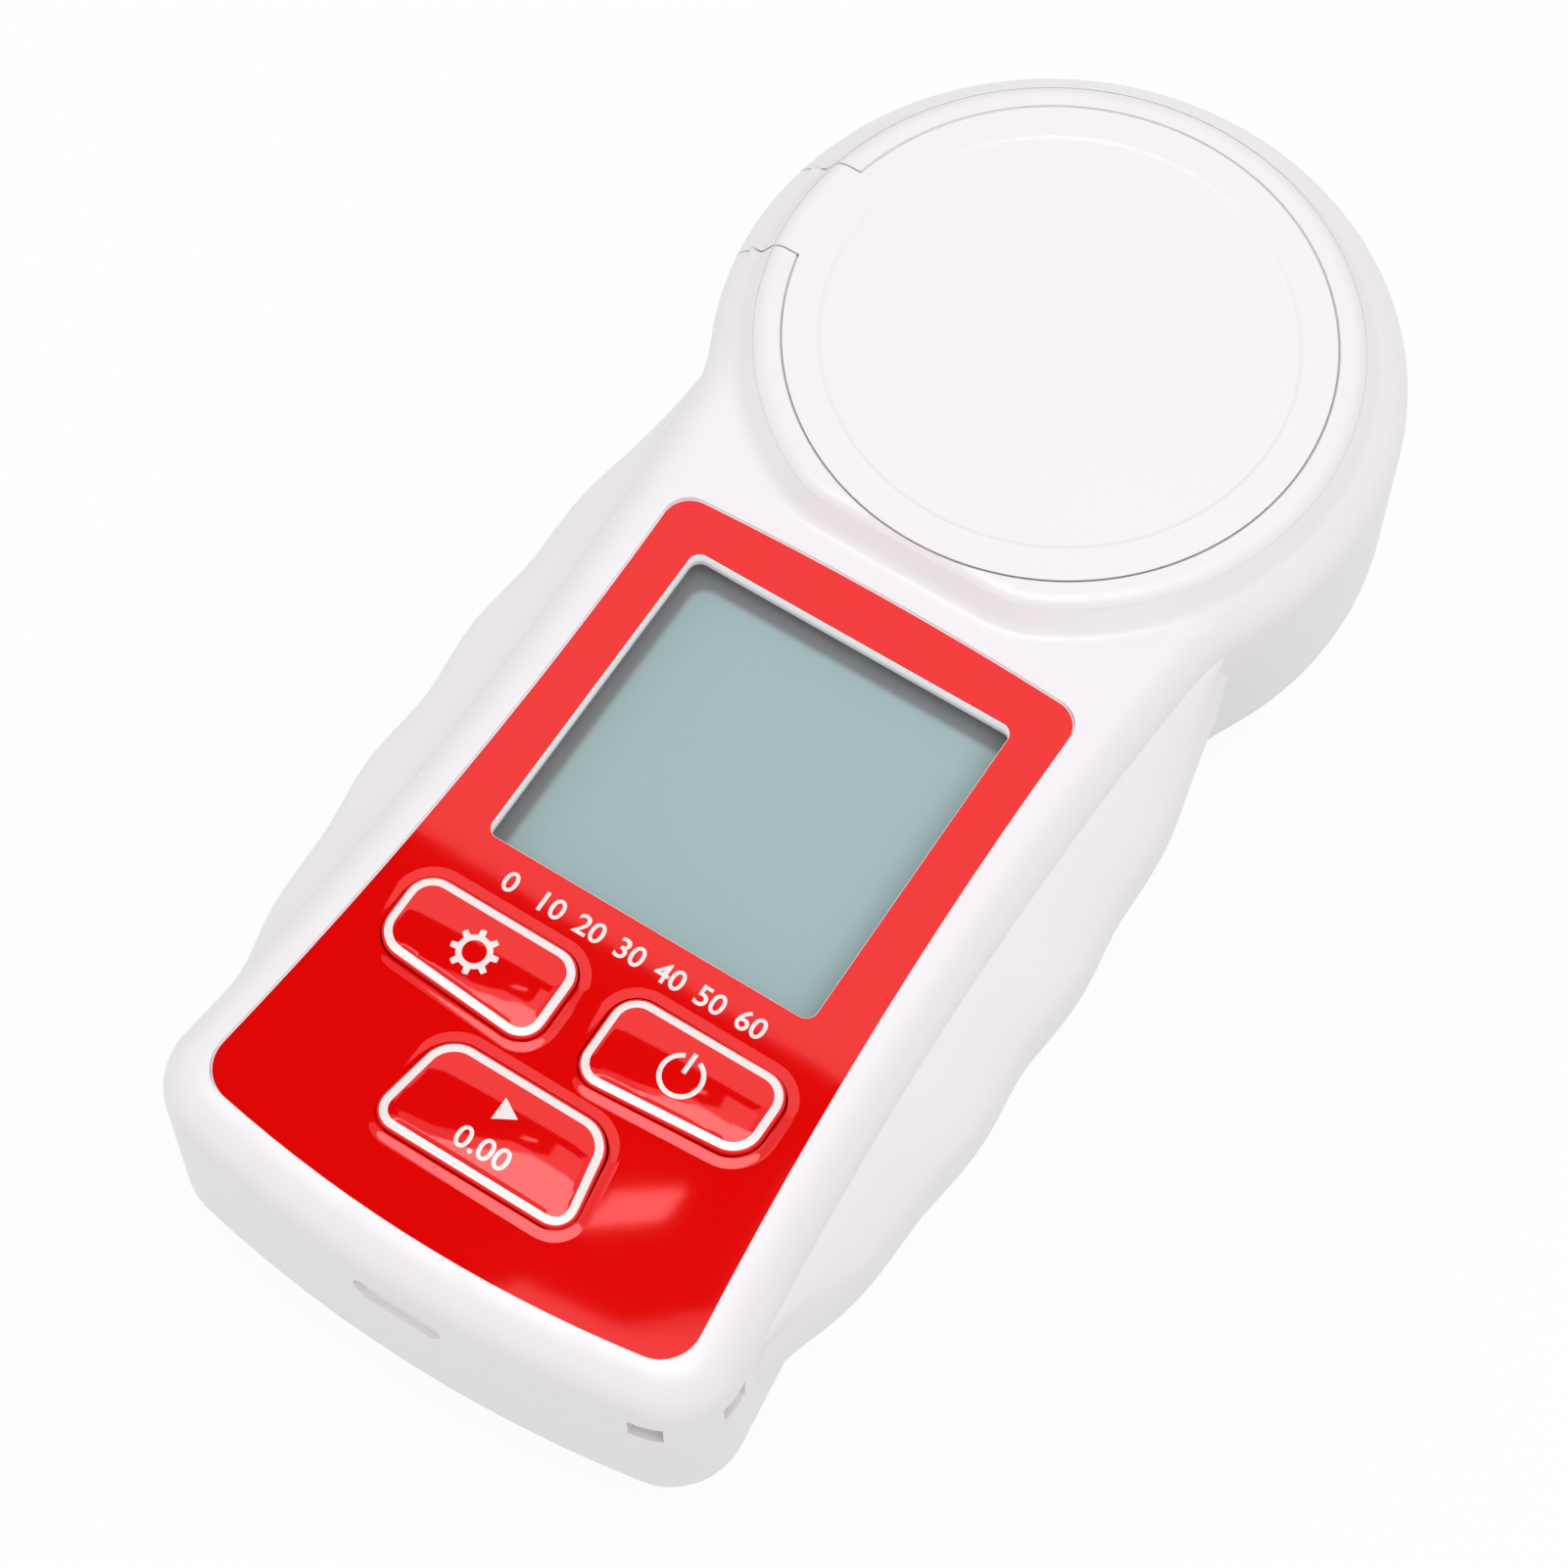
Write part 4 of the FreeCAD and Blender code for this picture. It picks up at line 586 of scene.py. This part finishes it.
def collar(name, corners):
    piece = flat_outline(grown(corners, COLLAR_W), FILM_Z + 0.004, KEY_CORNER + COLLAR_W)
    inset_steps(collar_steps)
    bpy.ops.mesh.delete(type="FACE")
    bpy.ops.object.mode_set(mode="OBJECT")
    finish_piece(piece, name, [red_film], angle=60)
    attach(piece, "body")


for key, corners in outlines.items():
    collar(key + "_collar", corners)

# %% [markdown]
# The film lies in a shallow recess of the case with a hairline gap round it. On the
# real part that line stays pale, so a thin white bed fills the gap. It is made from
# the film's own outer wall: a copy is merged, everything but that wall is deleted,
# and the wall is thickened outwards.

# %% White bed round the film
BED_W = 0.125
BED_DROP = 0.01
WALL_LOW_Z, WALL_HIGH_Z = 21.7, 22.1
WALL_X, WALL_LOW_Y, WALL_HIGH_Y = 18.1, -52.6, 1.5


def on_outer_wall(place):
    x, y, z = place / MM
    return WALL_LOW_Z < z < WALL_HIGH_Z and (abs(x) > WALL_X or y > WALL_HIGH_Y or y < WALL_LOW_Y)


only(nodes["front_film"])
bpy.ops.object.duplicate()
bed = bpy.context.object
bpy.ops.object.mode_set(mode="EDIT")
bpy.ops.mesh.select_all(action="SELECT")
bpy.ops.mesh.remove_doubles(threshold=0.001 * MM)
walls = pick("faces", on_outer_wall)
bpy.ops.mesh.select_all(action="INVERT")
bpy.ops.mesh.delete(type="FACE")
bpy.ops.mesh.select_all(action="SELECT")
bpy.ops.mesh.normals_make_consistent(inside=False)
bpy.ops.mesh.extrude_region_shrink_fatten(TRANSFORM_OT_shrink_fatten={"value": BED_W * MM})
bpy.ops.mesh.select_all(action="SELECT")
bpy.ops.mesh.normals_make_consistent(inside=False)
bpy.ops.transform.translate(value=mm(0, 0, -BED_DROP))
bpy.ops.object.mode_set(mode="OBJECT")
finish_piece(bed, "film_bed", [white_shell], angle=40)
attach(bed, "body")
print("wall faces", walls, "width", [round(size / MM, 2) for size in bed.dimensions])

# %% [markdown]
# The opening over the display has a bright lip: a faint emission, which is painted
# light, makes it look lighter than a plain wall in shade. The lip is a thin ring
# inside the film's opening. It starts as a flat plate with the corners of the
# opening and walks down into it in inset steps.

# %% Lip of the display opening with a painted glow
WINDOW_HALF = 14.65
WINDOW_LOW_Y = -27.5
WINDOW_HIGH_Y = 1.7
WINDOW_R = 1.0
LIP_GAP = 0.02
lip_steps = ((0.02, 0.0), (0.02, -0.04), (0.03, -0.95))


def window_lip():
    half = WINDOW_HALF - LIP_GAP
    low, high = WINDOW_LOW_Y + LIP_GAP, WINDOW_HIGH_Y - LIP_GAP
    corners = ((-half, low), (half, low), (half, high), (-half, high))
    piece = flat_outline(corners, FILM_Z - LIP_GAP, WINDOW_R)
    inset_steps(lip_steps)
    bpy.ops.mesh.delete(type="FACE")
    bpy.ops.object.mode_set(mode="OBJECT")
    finish_piece(piece, "window_lip", [lip_painted_glow], angle=60)
    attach(piece, "body")


# Painted light: the lip's emission lifts a wall that would otherwise stand in shade.
lip_painted_glow = plastic("lip_painted_glow", (0.88, 0.86, 0.87), 0.3, 0.01, 0.05, 1400.0, 1e-6,
                    Emission_Color=(1, 0.97, 0.99, 1), Emission_Strength=0.14)
window_lip()

# %% [markdown]
# The key caps are domed film over a stiff insert, with a printed white border
# just inside the edge. The cap starts as the same outline and walks inwards: a
# small round shoulder, the white border, and then the red crown that swells
# towards the middle. Faces made after a material is assigned keep that material.
# The crown is cut into narrow strips, so that one proportional lift can bend it.

# %% Domed key caps
CAP_BASE_Z = 21.6
shoulder_steps = ((0.05, 0.06), (0.07, 0.04), (0.08, 0.02))
border_steps = ((0.3, 0.01), (0.34, 0.0))
crown_steps = ((0.12, 0.02), (0.3, 0.01), (0.6, 0.01))
crown_cuts = (34, 22)


def cut_crown(corners):
    """Cut the crown into a grid of straight strips so that it can be bent."""
    for axis, count in enumerate(crown_cuts):
        low = min(c[axis] for c in corners)
        high = max(c[axis] for c in corners)
        for cut in range(1, count):
            spot = (low + (high - low) * cut / count) * MM
            pick("faces", lambda p: p.z > (KEY_TOP_Z + 0.03) * MM)
            bpy.ops.mesh.bisect(plane_co=(spot, spot, 0), plane_no=(1 - axis, axis, 0))


def swell(apex, reach_x, reach_y, rise):
    """Lift the crown round its apex with a parabolic falloff of unequal reach."""
    pick("faces", lambda p: p.z > (KEY_TOP_Z + 0.005) * MM)
    bpy.ops.mesh.hide(unselected=True)
    place = mm(*apex, 0)
    squash = (1, reach_x / reach_y, 1)
    bpy.ops.mesh.select_all(action="SELECT")
    bpy.ops.transform.resize(value=squash, center_override=place)
    corners = bmesh.from_edit_mesh(bpy.context.edit_object.data).verts
    nearest = min((c for c in corners if not c.hide), key=lambda c: (c.co - Vector(place)).xy.length)
    aim = nearest.co.copy()
    pick("verts", lambda p: (p - aim).length < 0.01 * MM)
    bpy.ops.transform.translate(value=mm(0, 0, rise), use_proportional_edit=True,
                                proportional_edit_falloff="INVERSE_SQUARE", proportional_size=reach_x * MM)
    bpy.ops.mesh.select_all(action="SELECT")
    bpy.ops.transform.resize(value=(1, reach_y / reach_x, 1), center_override=place)
    bpy.ops.mesh.reveal(select=False)


def lean(corners, degrees):
    """Turn everything above the base of a cap a little about its long middle line."""
    xs = [c[0] for c in corners]
    pick("verts", lambda p: p.z > (CAP_BASE_Z + 0.1) * MM)
    bpy.ops.transform.rotate(value=math.radians(degrees), orient_axis="Y",
                             center_override=mm((min(xs) + max(xs)) / 2, 0, KEY_TOP_Z))


def key_cap(key, corners, apex, degrees):
    """Domed cap over the CAD key, with slots for the red film and the border print."""
    piece = flat_outline(corners, CAP_BASE_Z, KEY_CORNER)
    for material in (red_key, film_print):
        piece.data.materials.append(material)
    wall = KEY_TOP_Z - CAP_BASE_Z - sum(rise for _, rise in shoulder_steps)
    bpy.ops.mesh.extrude_region_move(TRANSFORM_OT_translate={"value": mm(0, 0, wall)})
    inset_steps(shoulder_steps)
    piece.active_material_index = 1
    bpy.ops.object.material_slot_assign()
    inset_steps(border_steps)
    piece.active_material_index = 0
    bpy.ops.object.material_slot_assign()
    inset_steps(crown_steps)
    cut_crown(corners)
    swell(apex, CROWN_REACH_X, CROWN_REACH_Y, CROWN_RISE)
    lean(corners, degrees)
    bpy.ops.object.mode_set(mode="OBJECT")
    finish_piece(piece, key + "_cap", [red_key, film_print], angle=50)
    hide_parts(key + "_key")
    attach(piece, key + "_button")
    return piece


CROWN_RISE = 0.36
CROWN_REACH_X = 9.0
CROWN_REACH_Y = 5.4
apexes = {"settings": (-9.2, -36.4), "power": (7.7, -36.0), "test": (0.0, -46.9)}
leans = {"settings": 0.0, "power": 1.5, "test": 0.0}
caps = {key: key_cap(key, corners, apexes[key], leans[key]) for key, corners in outlines.items()}

# %% [markdown]
# The symbols are printed on the crowns, so each one is a thin flat mesh that is
# dropped onto its cap with a Shrinkwrap modifier. The gear is a ring whose outer
# edge is pushed out into teeth at eight places. The power sign is an open ring with
# a bar.

# %% Printed symbols
PRINT_LIFT = 0.012
PRINT_START_Z = 30


def ring_plate(x, y, outer, inner, points):
    """Flat ring in edit mode: an ngon, an inset and a deleted middle."""
    start_fresh()
    bpy.ops.mesh.primitive_circle_add(vertices=points, radius=outer * MM, fill_type="NGON",
                                      location=mm(x, y, PRINT_START_Z))
    bpy.ops.object.transform_apply(location=True, rotation=True, scale=True)
    bpy.ops.object.mode_set(mode="EDIT")
    bpy.ops.mesh.select_mode(type="FACE")
    bpy.ops.mesh.select_all(action="SELECT")
    bpy.ops.mesh.inset(thickness=(outer - inner) * MM, use_even_offset=True)
    bpy.ops.mesh.delete(type="FACE")
    bpy.ops.mesh.select_all(action="SELECT")
    return bpy.context.object


def drop_on(piece, target, cuts=2):
    """Lay a flat mesh onto another piece from above and keep the result."""
    only(piece)
    bpy.ops.object.mode_set(mode="EDIT")
    bpy.ops.mesh.select_all(action="SELECT")
    bpy.ops.mesh.quads_convert_to_tris()
    bpy.ops.mesh.subdivide(number_cuts=cuts)
    bpy.ops.object.mode_set(mode="OBJECT")
    wrap = piece.modifiers.new("drop", "SHRINKWRAP")
    wrap.target = target
    wrap.wrap_method = "PROJECT"
    wrap.use_project_z = True
    wrap.use_negative_direction = True
    wrap.use_positive_direction = False
    wrap.offset = PRINT_LIFT * MM
    bpy.ops.object.modifier_apply(modifier=wrap.name)
    return piece


GEAR_R = 1.42
GEAR_BORE = 0.95
TOOTH_H = 0.5


def gear(x, y):
    teeth = 8
    piece = ring_plate(x, y, GEAR_R, GEAR_BORE, teeth * 6)
    for tooth in range(teeth):
        turn = 2 * math.pi * (tooth + 0.25) / teeth
        way = (math.cos(turn), math.sin(turn))
        aim = Vector(mm(x + GEAR_R * way[0], y + GEAR_R * way[1], PRINT_START_Z))
        pick("edges", lambda p: (p - aim).length < 0.24 * MM)
        bpy.ops.mesh.extrude_edges_move(
            TRANSFORM_OT_translate={"value": mm(TOOTH_H * way[0], TOOTH_H * way[1], 0)})
        bpy.ops.transform.resize(value=(0.85, 0.85, 1))
    bpy.ops.object.mode_set(mode="OBJECT")
    return piece


SIGN_R = 1.85
SIGN_BORE = 1.47
SIGN_GAP = 0.62
BAR_Y, BAR_W, BAR_H = 1.15, 0.38, 1.8


def power_sign(x, y):
    piece = ring_plate(x, y, SIGN_R, SIGN_BORE, 48)
    pick("faces", lambda p: p.y > (y + 1.2) * MM and abs(p.x - x * MM) < SIGN_GAP * MM)
    bpy.ops.mesh.delete(type="FACE")
    bpy.ops.mesh.primitive_plane_add(size=MM, location=mm(x, y + BAR_Y, PRINT_START_Z))
    bpy.ops.transform.resize(value=(BAR_W, BAR_H, 1))
    bpy.ops.object.mode_set(mode="OBJECT")
    return piece


gear_print = drop_on(gear(-9.4, -36.5), caps["settings"])
power_print = drop_on(power_sign(9.1, -36.5), caps["power"])
for piece, name, body in ((gear_print, "gear_print", "settings_button"),
                          (power_print, "power_print", "power_button")):
    finish_piece(piece, name, [film_print])
    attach(piece, body)

# %% [markdown]
# The raised round platform flows into the top of the case with a soft hollow foot.
# Its profile is a short chain of edges, extruded point by point. The chain is then
# carried round the platform's outline: a long spin about the head, a short spin
# about each rounded corner, and a straight extrusion along the flat side. At last
# its outer loops are laid onto the case and onto the lid's tab.

# %% Hollow foot of the platform
HEAD_Y = 32.4
PLATFORM_R = 24.9
CHORD_Y = 9.3
CORNER_R = 9.0
TAB_HALF = 4.65
TAB_GAP = 0.15
SINK_LIMIT = 1.2
HELD_LOOPS = 4
corner_y = CHORD_Y + CORNER_R
corner_x = math.sqrt((PLATFORM_R - CORNER_R) ** 2 - (HEAD_Y - corner_y) ** 2)
corner_turn = math.atan2(corner_x, HEAD_Y - corner_y)
foot_profile = ((-0.36, 24.44), (-0.2, 24.21), (0.12, 23.64), (0.45, 23.07), (0.66, 22.8),
                (0.92, 22.6), (1.24, 22.47), (1.6, 22.42), (1.85, 22.39))


def outline_point(turn, out):
    """Point beside the platform's round wall, seen from the middle of the head."""
    reach = PLATFORM_R + out
    return reach * math.sin(turn), HEAD_Y - reach * math.cos(turn)


def sweep_profile():
    """Extrude the profile chain where the round wall meets the right corner."""
    start_fresh()
    bpy.ops.mesh.primitive_plane_add(size=MM, location=(0, 0, 0))
    bpy.ops.object.mode_set(mode="EDIT")
    pick("verts", lambda p: p.x > 0 or p.y > 0)
    bpy.ops.mesh.delete(type="VERT")
    bpy.ops.mesh.select_all(action="SELECT")
    x, y = outline_point(corner_turn, foot_profile[0][0])
    bpy.ops.transform.translate(value=mm(x + 0.5, y + 0.5, foot_profile[0][1]))
    for (out_a, z_a), (out_b, z_b) in zip(foot_profile, foot_profile[1:]):
        xa, ya = outline_point(corner_turn, out_a)
        xb, yb = outline_point(corner_turn, out_b)
        bpy.ops.mesh.extrude_vertices_move(TRANSFORM_OT_translate={"value": mm(xb - xa, yb - ya, z_b - z_a)})
    return bpy.context.object


def spin_end(centre_x, centre_y, turn, steps, near):
    """Spin the profile that stands at one place of the outline about an upright axis."""
    pick("edges", near)
    bpy.ops.mesh.spin(steps=steps, angle=turn, center=mm(centre_x, centre_y, 0), axis=(0, 0, -1))


def stands_at(turn):
    """Test for points on the upright plane through the head's middle at one turn."""
    side = Vector((math.cos(turn), math.sin(turn), 0))
    way = Vector((math.sin(turn), -math.cos(turn), 0))
    middle = Vector(mm(0, HEAD_Y, 0))
    return lambda p: abs((p - middle).dot(side)) < 0.01 * MM and (p - middle).dot(way) > 0


def platform_foot():
    piece = sweep_profile()
    spin_end(0, HEAD_Y, 2 * math.pi - 2 * corner_turn, 180, stands_at(corner_turn))
    spin_end(-corner_x, corner_y, corner_turn, 16, stands_at(-corner_turn))
    pick("edges", lambda p: abs(p.x + corner_x * MM) < 0.01 * MM and p.y < CHORD_Y * MM + 0.001)
    bpy.ops.mesh.extrude_edges_move(TRANSFORM_OT_translate={"value": mm(2 * corner_x, 0, 0)})
    spin_end(corner_x, corner_y, corner_turn, 16,
             lambda p: abs(p.x - corner_x * MM) < 0.01 * MM and p.y < CHORD_Y * MM + 0.001)
    bpy.ops.mesh.select_all(action="SELECT")
    bpy.ops.mesh.remove_doubles(threshold=0.005 * MM)
    bpy.ops.mesh.normals_make_consistent(inside=False)
    bpy.ops.object.mode_set(mode="OBJECT")
    return piece


def sink_foot(piece, target, on_tab):
    """Press the outer loops of the foot down onto the case or onto the lid's tab."""
    only(piece)
    group = piece.vertex_groups.new(name="outer_" + target.name)
    loops = [z for _, z in foot_profile]
    for corner in piece.data.vertices:
        height = corner.co.z / MM
        level = min(range(len(loops)), key=lambda i: abs(loops[i] - height))
        weight = max(0.0, (level + 1 - HELD_LOOPS) / (len(loops) - HELD_LOOPS))
        beside = abs(corner.co.y / MM - HEAD_Y) - TAB_HALF if corner.co.x < 0 else math.inf
        wanted = beside < -TAB_GAP if on_tab else beside > 2 * TAB_GAP
        group.add([corner.index], weight if wanted else 0.0, "REPLACE")
    wrap = piece.modifiers.new("sink", "SHRINKWRAP")
    wrap.target = target
    wrap.wrap_method = "PROJECT"
    wrap.use_project_z = True
    wrap.use_negative_direction = True
    wrap.use_positive_direction = True
    wrap.project_limit = SINK_LIMIT * MM
    wrap.offset = 0.005 * MM
    wrap.vertex_group = group.name
    bpy.ops.object.modifier_apply(modifier=wrap.name)


foot = platform_foot()
sink_foot(foot, nodes["upper_case"], False)
sink_foot(foot, nodes["sample_lid"], True)
print("platform foot", len(foot.data.vertices), "corners")

# %% [markdown]
# The tab of the lid crosses the platform, so the foot is cut there. The stretch on
# the tab swings with the lid, and the rest stays on the case.

# %% Foot on the case and on the tab


def trim(piece, y, dropped):
    """Cut the hinge side by an upright plane and drop the faces that pass a test."""
    only(piece)
    bpy.ops.object.mode_set(mode="EDIT")
    pick("faces", lambda p: p.x < 0)
    bpy.ops.mesh.bisect(plane_co=mm(0, y, 0), plane_no=(0, 1, 0))
    pick("faces", dropped)
    bpy.ops.mesh.delete(type="FACE")
    bpy.ops.object.mode_set(mode="OBJECT")


only(foot)
bpy.ops.object.duplicate()
tab_foot = bpy.context.object
low_y, high_y = HEAD_Y - TAB_HALF, HEAD_Y + TAB_HALF
trim(tab_foot, low_y, lambda p: p.x > 0 or p.y < low_y * MM)
trim(tab_foot, high_y, lambda p: p.x > 0 or p.y >= high_y * MM)
for cut_y in (low_y - TAB_GAP, high_y + TAB_GAP):
    trim(foot, cut_y, lambda p: p.x < 0 and abs(p.y - HEAD_Y * MM) < (TAB_HALF + TAB_GAP) * MM)
finish_piece(foot, "platform_foot", [white_shell], angle=60)
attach(foot, "body")
finish_piece(tab_foot, "tab_foot", [white_shell], angle=60)
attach(tab_foot, "lid")

# %% [markdown]
# Where the real front has words, this one has generic marks: a plain number scale
# below the display, and a start triangle over a zero on the lower key. Numbers
# are text objects, turned into meshes and dropped on the surface below them.

# %% Numbers and the start mark


def number(text, x, y, height, squeeze=1.0):
    """Flat number mesh centred on a point; height is that of the digits."""
    start_fresh()
    bpy.ops.object.text_add(location=mm(x, y, PRINT_START_Z))
    piece = bpy.context.object
    piece.data.body = text
    piece.data.align_x = "CENTER"
    piece.data.align_y = "CENTER"
    piece.data.size = height * 1.38 * MM
    piece.data.offset = 0.02 * height * MM
    piece.data.resolution_u = 6
    bpy.ops.object.convert(target="MESH")
    piece = bpy.context.object
    bpy.ops.transform.resize(value=(squeeze, 1, 1))
    bpy.ops.object.transform_apply(location=True, rotation=True, scale=True)
    return piece


def join_pieces(pieces):
    start_fresh()
    for piece in pieces:
        piece.select_set(True)
    bpy.context.view_layer.objects.active = pieces[0]
    bpy.ops.object.join()
    return pieces[0]


SCALE_Y = -30.05
digits = [number(str(10 * i), -10.6 + i * 3.6, SCALE_Y, 1.75, 1.05) for i in range(7)]
scale_print = join_pieces(digits)
drop_on(scale_print, nodes["front_film"], cuts=0)
finish_piece(scale_print, "scale_print", [film_print])
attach(scale_print, "body")


def start_triangle(x, y, size):
    start_fresh()
    bpy.ops.mesh.primitive_circle_add(vertices=3, radius=size * MM, fill_type="NGON",
                                      location=mm(x, y, PRINT_START_Z), rotation=(0, 0, math.radians(-90)))
    bpy.ops.object.transform_apply(location=True, rotation=True, scale=True)
    return bpy.context.object


test_print = join_pieces([start_triangle(-0.2, -45.9, 1.15), number("0.00", 0, -49.2, 1.8, 1.1)])
drop_on(test_print, caps["test"])
finish_piece(test_print, "test_print", [film_print])
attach(test_print, "test_button")

# %% [markdown]
# The stage is a large pale floor and a white surround. Camera, gloss and
# transmission rays see them as white or nearly so, and only the other rays see the
# softer sky that lights the part, so white plastic doesn't clip.

# %% Floor and surround


def white_to_camera(tree, lit, output, strength=1.0):
    """Mix a lit shader with plain white for camera, glossy and transmission rays."""
    path = add_node(tree, "ShaderNodeLightPath")
    either = path.outputs["Is Camera Ray"]
    for label in ("Is Glossy Ray", "Is Transmission Ray"):
        either = math_node(tree, "MAXIMUM", either, path.outputs[label])
    mix = add_node(tree, "ShaderNodeMixShader")
    tree.links.new(math_node(tree, "MULTIPLY", either, strength), mix.inputs["Fac"])
    tree.links.new(lit, mix.inputs[1])
    tree.links.new(mix.outputs[0], output)
    return mix


def floor_material():
    material, tree, shader = new_material("floor_white", {"Roughness": 0.9, "Specular IOR Level": 0.0})
    tone = add_node(tree, "ShaderNodeMix", data_type="RGBA")
    tone.inputs["A"].default_value = (0.9, 0.9, 0.9, 1)
    tone.inputs["B"].default_value = (0.55, 0.55, 0.55, 1)
    tree.links.new(add_node(tree, "ShaderNodeLightPath").outputs["Is Diffuse Ray"], tone.inputs["Factor"])
    tree.links.new(tone.outputs["Result"], shader.inputs["Base Color"])
    glow = add_node(tree, "ShaderNodeEmission")
    mix = white_to_camera(tree, shader.outputs[0], tree.nodes["Material Output"].inputs["Surface"], 0.93)
    tree.links.new(glow.outputs[0], mix.inputs[2])
    return material


start_fresh()
bpy.ops.mesh.primitive_plane_add(size=6, location=(0, 0, -0.0002))
floor = bpy.context.object
finish_piece(floor, "floor", [floor_material()])

world = bpy.data.worlds.new("studio")
scene.world = world
world.use_nodes = True
world_tree = world.node_tree
sky = world_tree.nodes["Background"]
sky.inputs["Color"].default_value = (1, 1, 1, 1)
sky.inputs["Strength"].default_value = 0.755
white = add_node(world_tree, "ShaderNodeBackground")
world_mix = white_to_camera(world_tree, sky.outputs[0], world_tree.nodes["World Output"].inputs["Surface"])
world_tree.links.new(white.outputs[0], world_mix.inputs[2])
print("sky strength", sky.inputs["Strength"].default_value)

# %% [markdown]
# The film's mirror image of the surround ends in a soft line just below the
# display: above it the red looks pale, below it deep. That line is the edge of a
# dark card, which hangs where a ray from the camera goes after it bounces off the
# lower film. A pale ceiling card fills the upper film, and a bright panel shows in
# the slopes of the domed keys. Camera, shadows and diffuse light ignore all three.

# %% Dark and bright cards
CARD_Z = 622.0


def hanging_card(name, corners, z, material):
    """Flat card with four given corners that shows only in the gloss of other pieces."""
    start_fresh()
    bpy.ops.mesh.primitive_plane_add(size=2 * MM, location=(0, 0, 0))
    piece = bpy.context.object
    bpy.ops.object.mode_set(mode="EDIT")
    for corner, (x, y) in zip(((-1, -1), (1, -1), (1, 1), (-1, 1)), corners):
        pick("verts", lambda p: (p - Vector(mm(*corner, 0))).length < 0.01 * MM)
        bpy.ops.transform.translate(value=mm(x - corner[0], y - corner[1], z))
    bpy.ops.object.mode_set(mode="OBJECT")
    finish_piece(piece, name, [material])
    piece.visible_camera = False
    piece.visible_diffuse = False
    piece.visible_transmission = False
    piece.visible_shadow = False


def panel_material(name, strength):
    material, tree, _ = new_material(name, {})
    glow = add_node(tree, "ShaderNodeEmission")
    glow.inputs["Strength"].default_value = strength
    tree.links.new(glow.outputs[0], tree.nodes["Material Output"].inputs["Surface"])
    return material


card_black, _, _ = new_material("card_black", {"Base Color": (0.002, 0.002, 0.002, 1), "Roughness": 1.0,
                                               "Specular IOR Level": 0.0})
hanging_card("card", ((-420, -80), (-131, 97), (-37, 185), (-420, 185)), CARD_Z, card_black)
ceiling_bright = panel_material("ceiling_bright", 1.3)
hanging_card("panel", ((-330, -160), (200, -160), (200, 100), (-115, 100)), CARD_Z - 10,
             panel_material("panel_bright", 4.8))
hanging_card("ceiling", ((-700, 185), (500, 185), (500, 1400), (-700, 1400)), CARD_Z + 5, ceiling_bright)

# %% [markdown]
# A few small bright strips show in the lower film as a short streak beside the
# lowest key and a paler border at the right corner. Each is placed by the film
# points where it shall appear: the ray from the camera is mirrored there and
# followed up to the height of the strip. Outwards the border strips run on past the
# film as far as the bright panel, so the domed keys mirror one even area.

# %% Bright strips in the film
STRIP_Z = CARD_Z - 3


def mirrored(points, z):
    """Places at one height that the flat film shows to the camera at these points."""
    eye = camera.location / MM
    share = (z - FILM_Z) / (eye.z - FILM_Z)
    return [(x + share * (x - eye.x), y + share * (y - eye.y)) for x, y in points]


strips = {
    "streak": ((9.2, -50.3), (14.0, -46.5), (14.1, -43.4), (9.8, -46.5)),
    "border_right": ((19.9, -37.5), (48.0, -37.5), (48.0, -60.0), (21.2, -51.8)),
    "border_corner": ((17.2, -54.8), (21.2, -51.8), (48.0, -60.0), (22.0, -75.0)),
    "border_low": ((8.1, -55.8), (17.2, -54.8), (22.0, -75.0), (-8.0, -75.0)),
}
for name, points in strips.items():
    glow = panel_material(name + "_bright", 3.2) if name == "streak" else ceiling_bright
    hanging_card(name, mirrored(points, STRIP_Z), STRIP_Z, glow)

# %% [markdown]
# Most light comes from the even surround, as in a white tent. A large soft lamp high
# on the right lifts the rounded edges and the grip there, and two lower ones on the
# left and in front do the same for the left grip and the tail wall.

# %% Lamps


def soft_lamp(name, place, aim, width, power):
    direction = Vector(aim) - Vector(place)
    bpy.ops.object.light_add(type="AREA", location=place)
    lamp = bpy.context.object
    lamp.name = name
    lamp.rotation_euler = direction.to_track_quat("-Z", "Y").to_euler()
    lamp.data.shape = "DISK"
    lamp.data.size = width
    lamp.data.energy = power
    lamp.visible_glossy = False
    print("lamp", name, power, "W")


start_fresh()
soft_lamp("right_lamp", (0.5, 0.1, 0.7), (0, 0, 0.01), 0.6, 1.75)
soft_lamp("left_lamp", (-0.75, 0.1, 0.43), (0, 0, 0.01), 0.6, 1.0)
soft_lamp("front_lamp", (-0.05, -0.8, 0.22), (0, 0, 0.01), 0.6, 0.95)
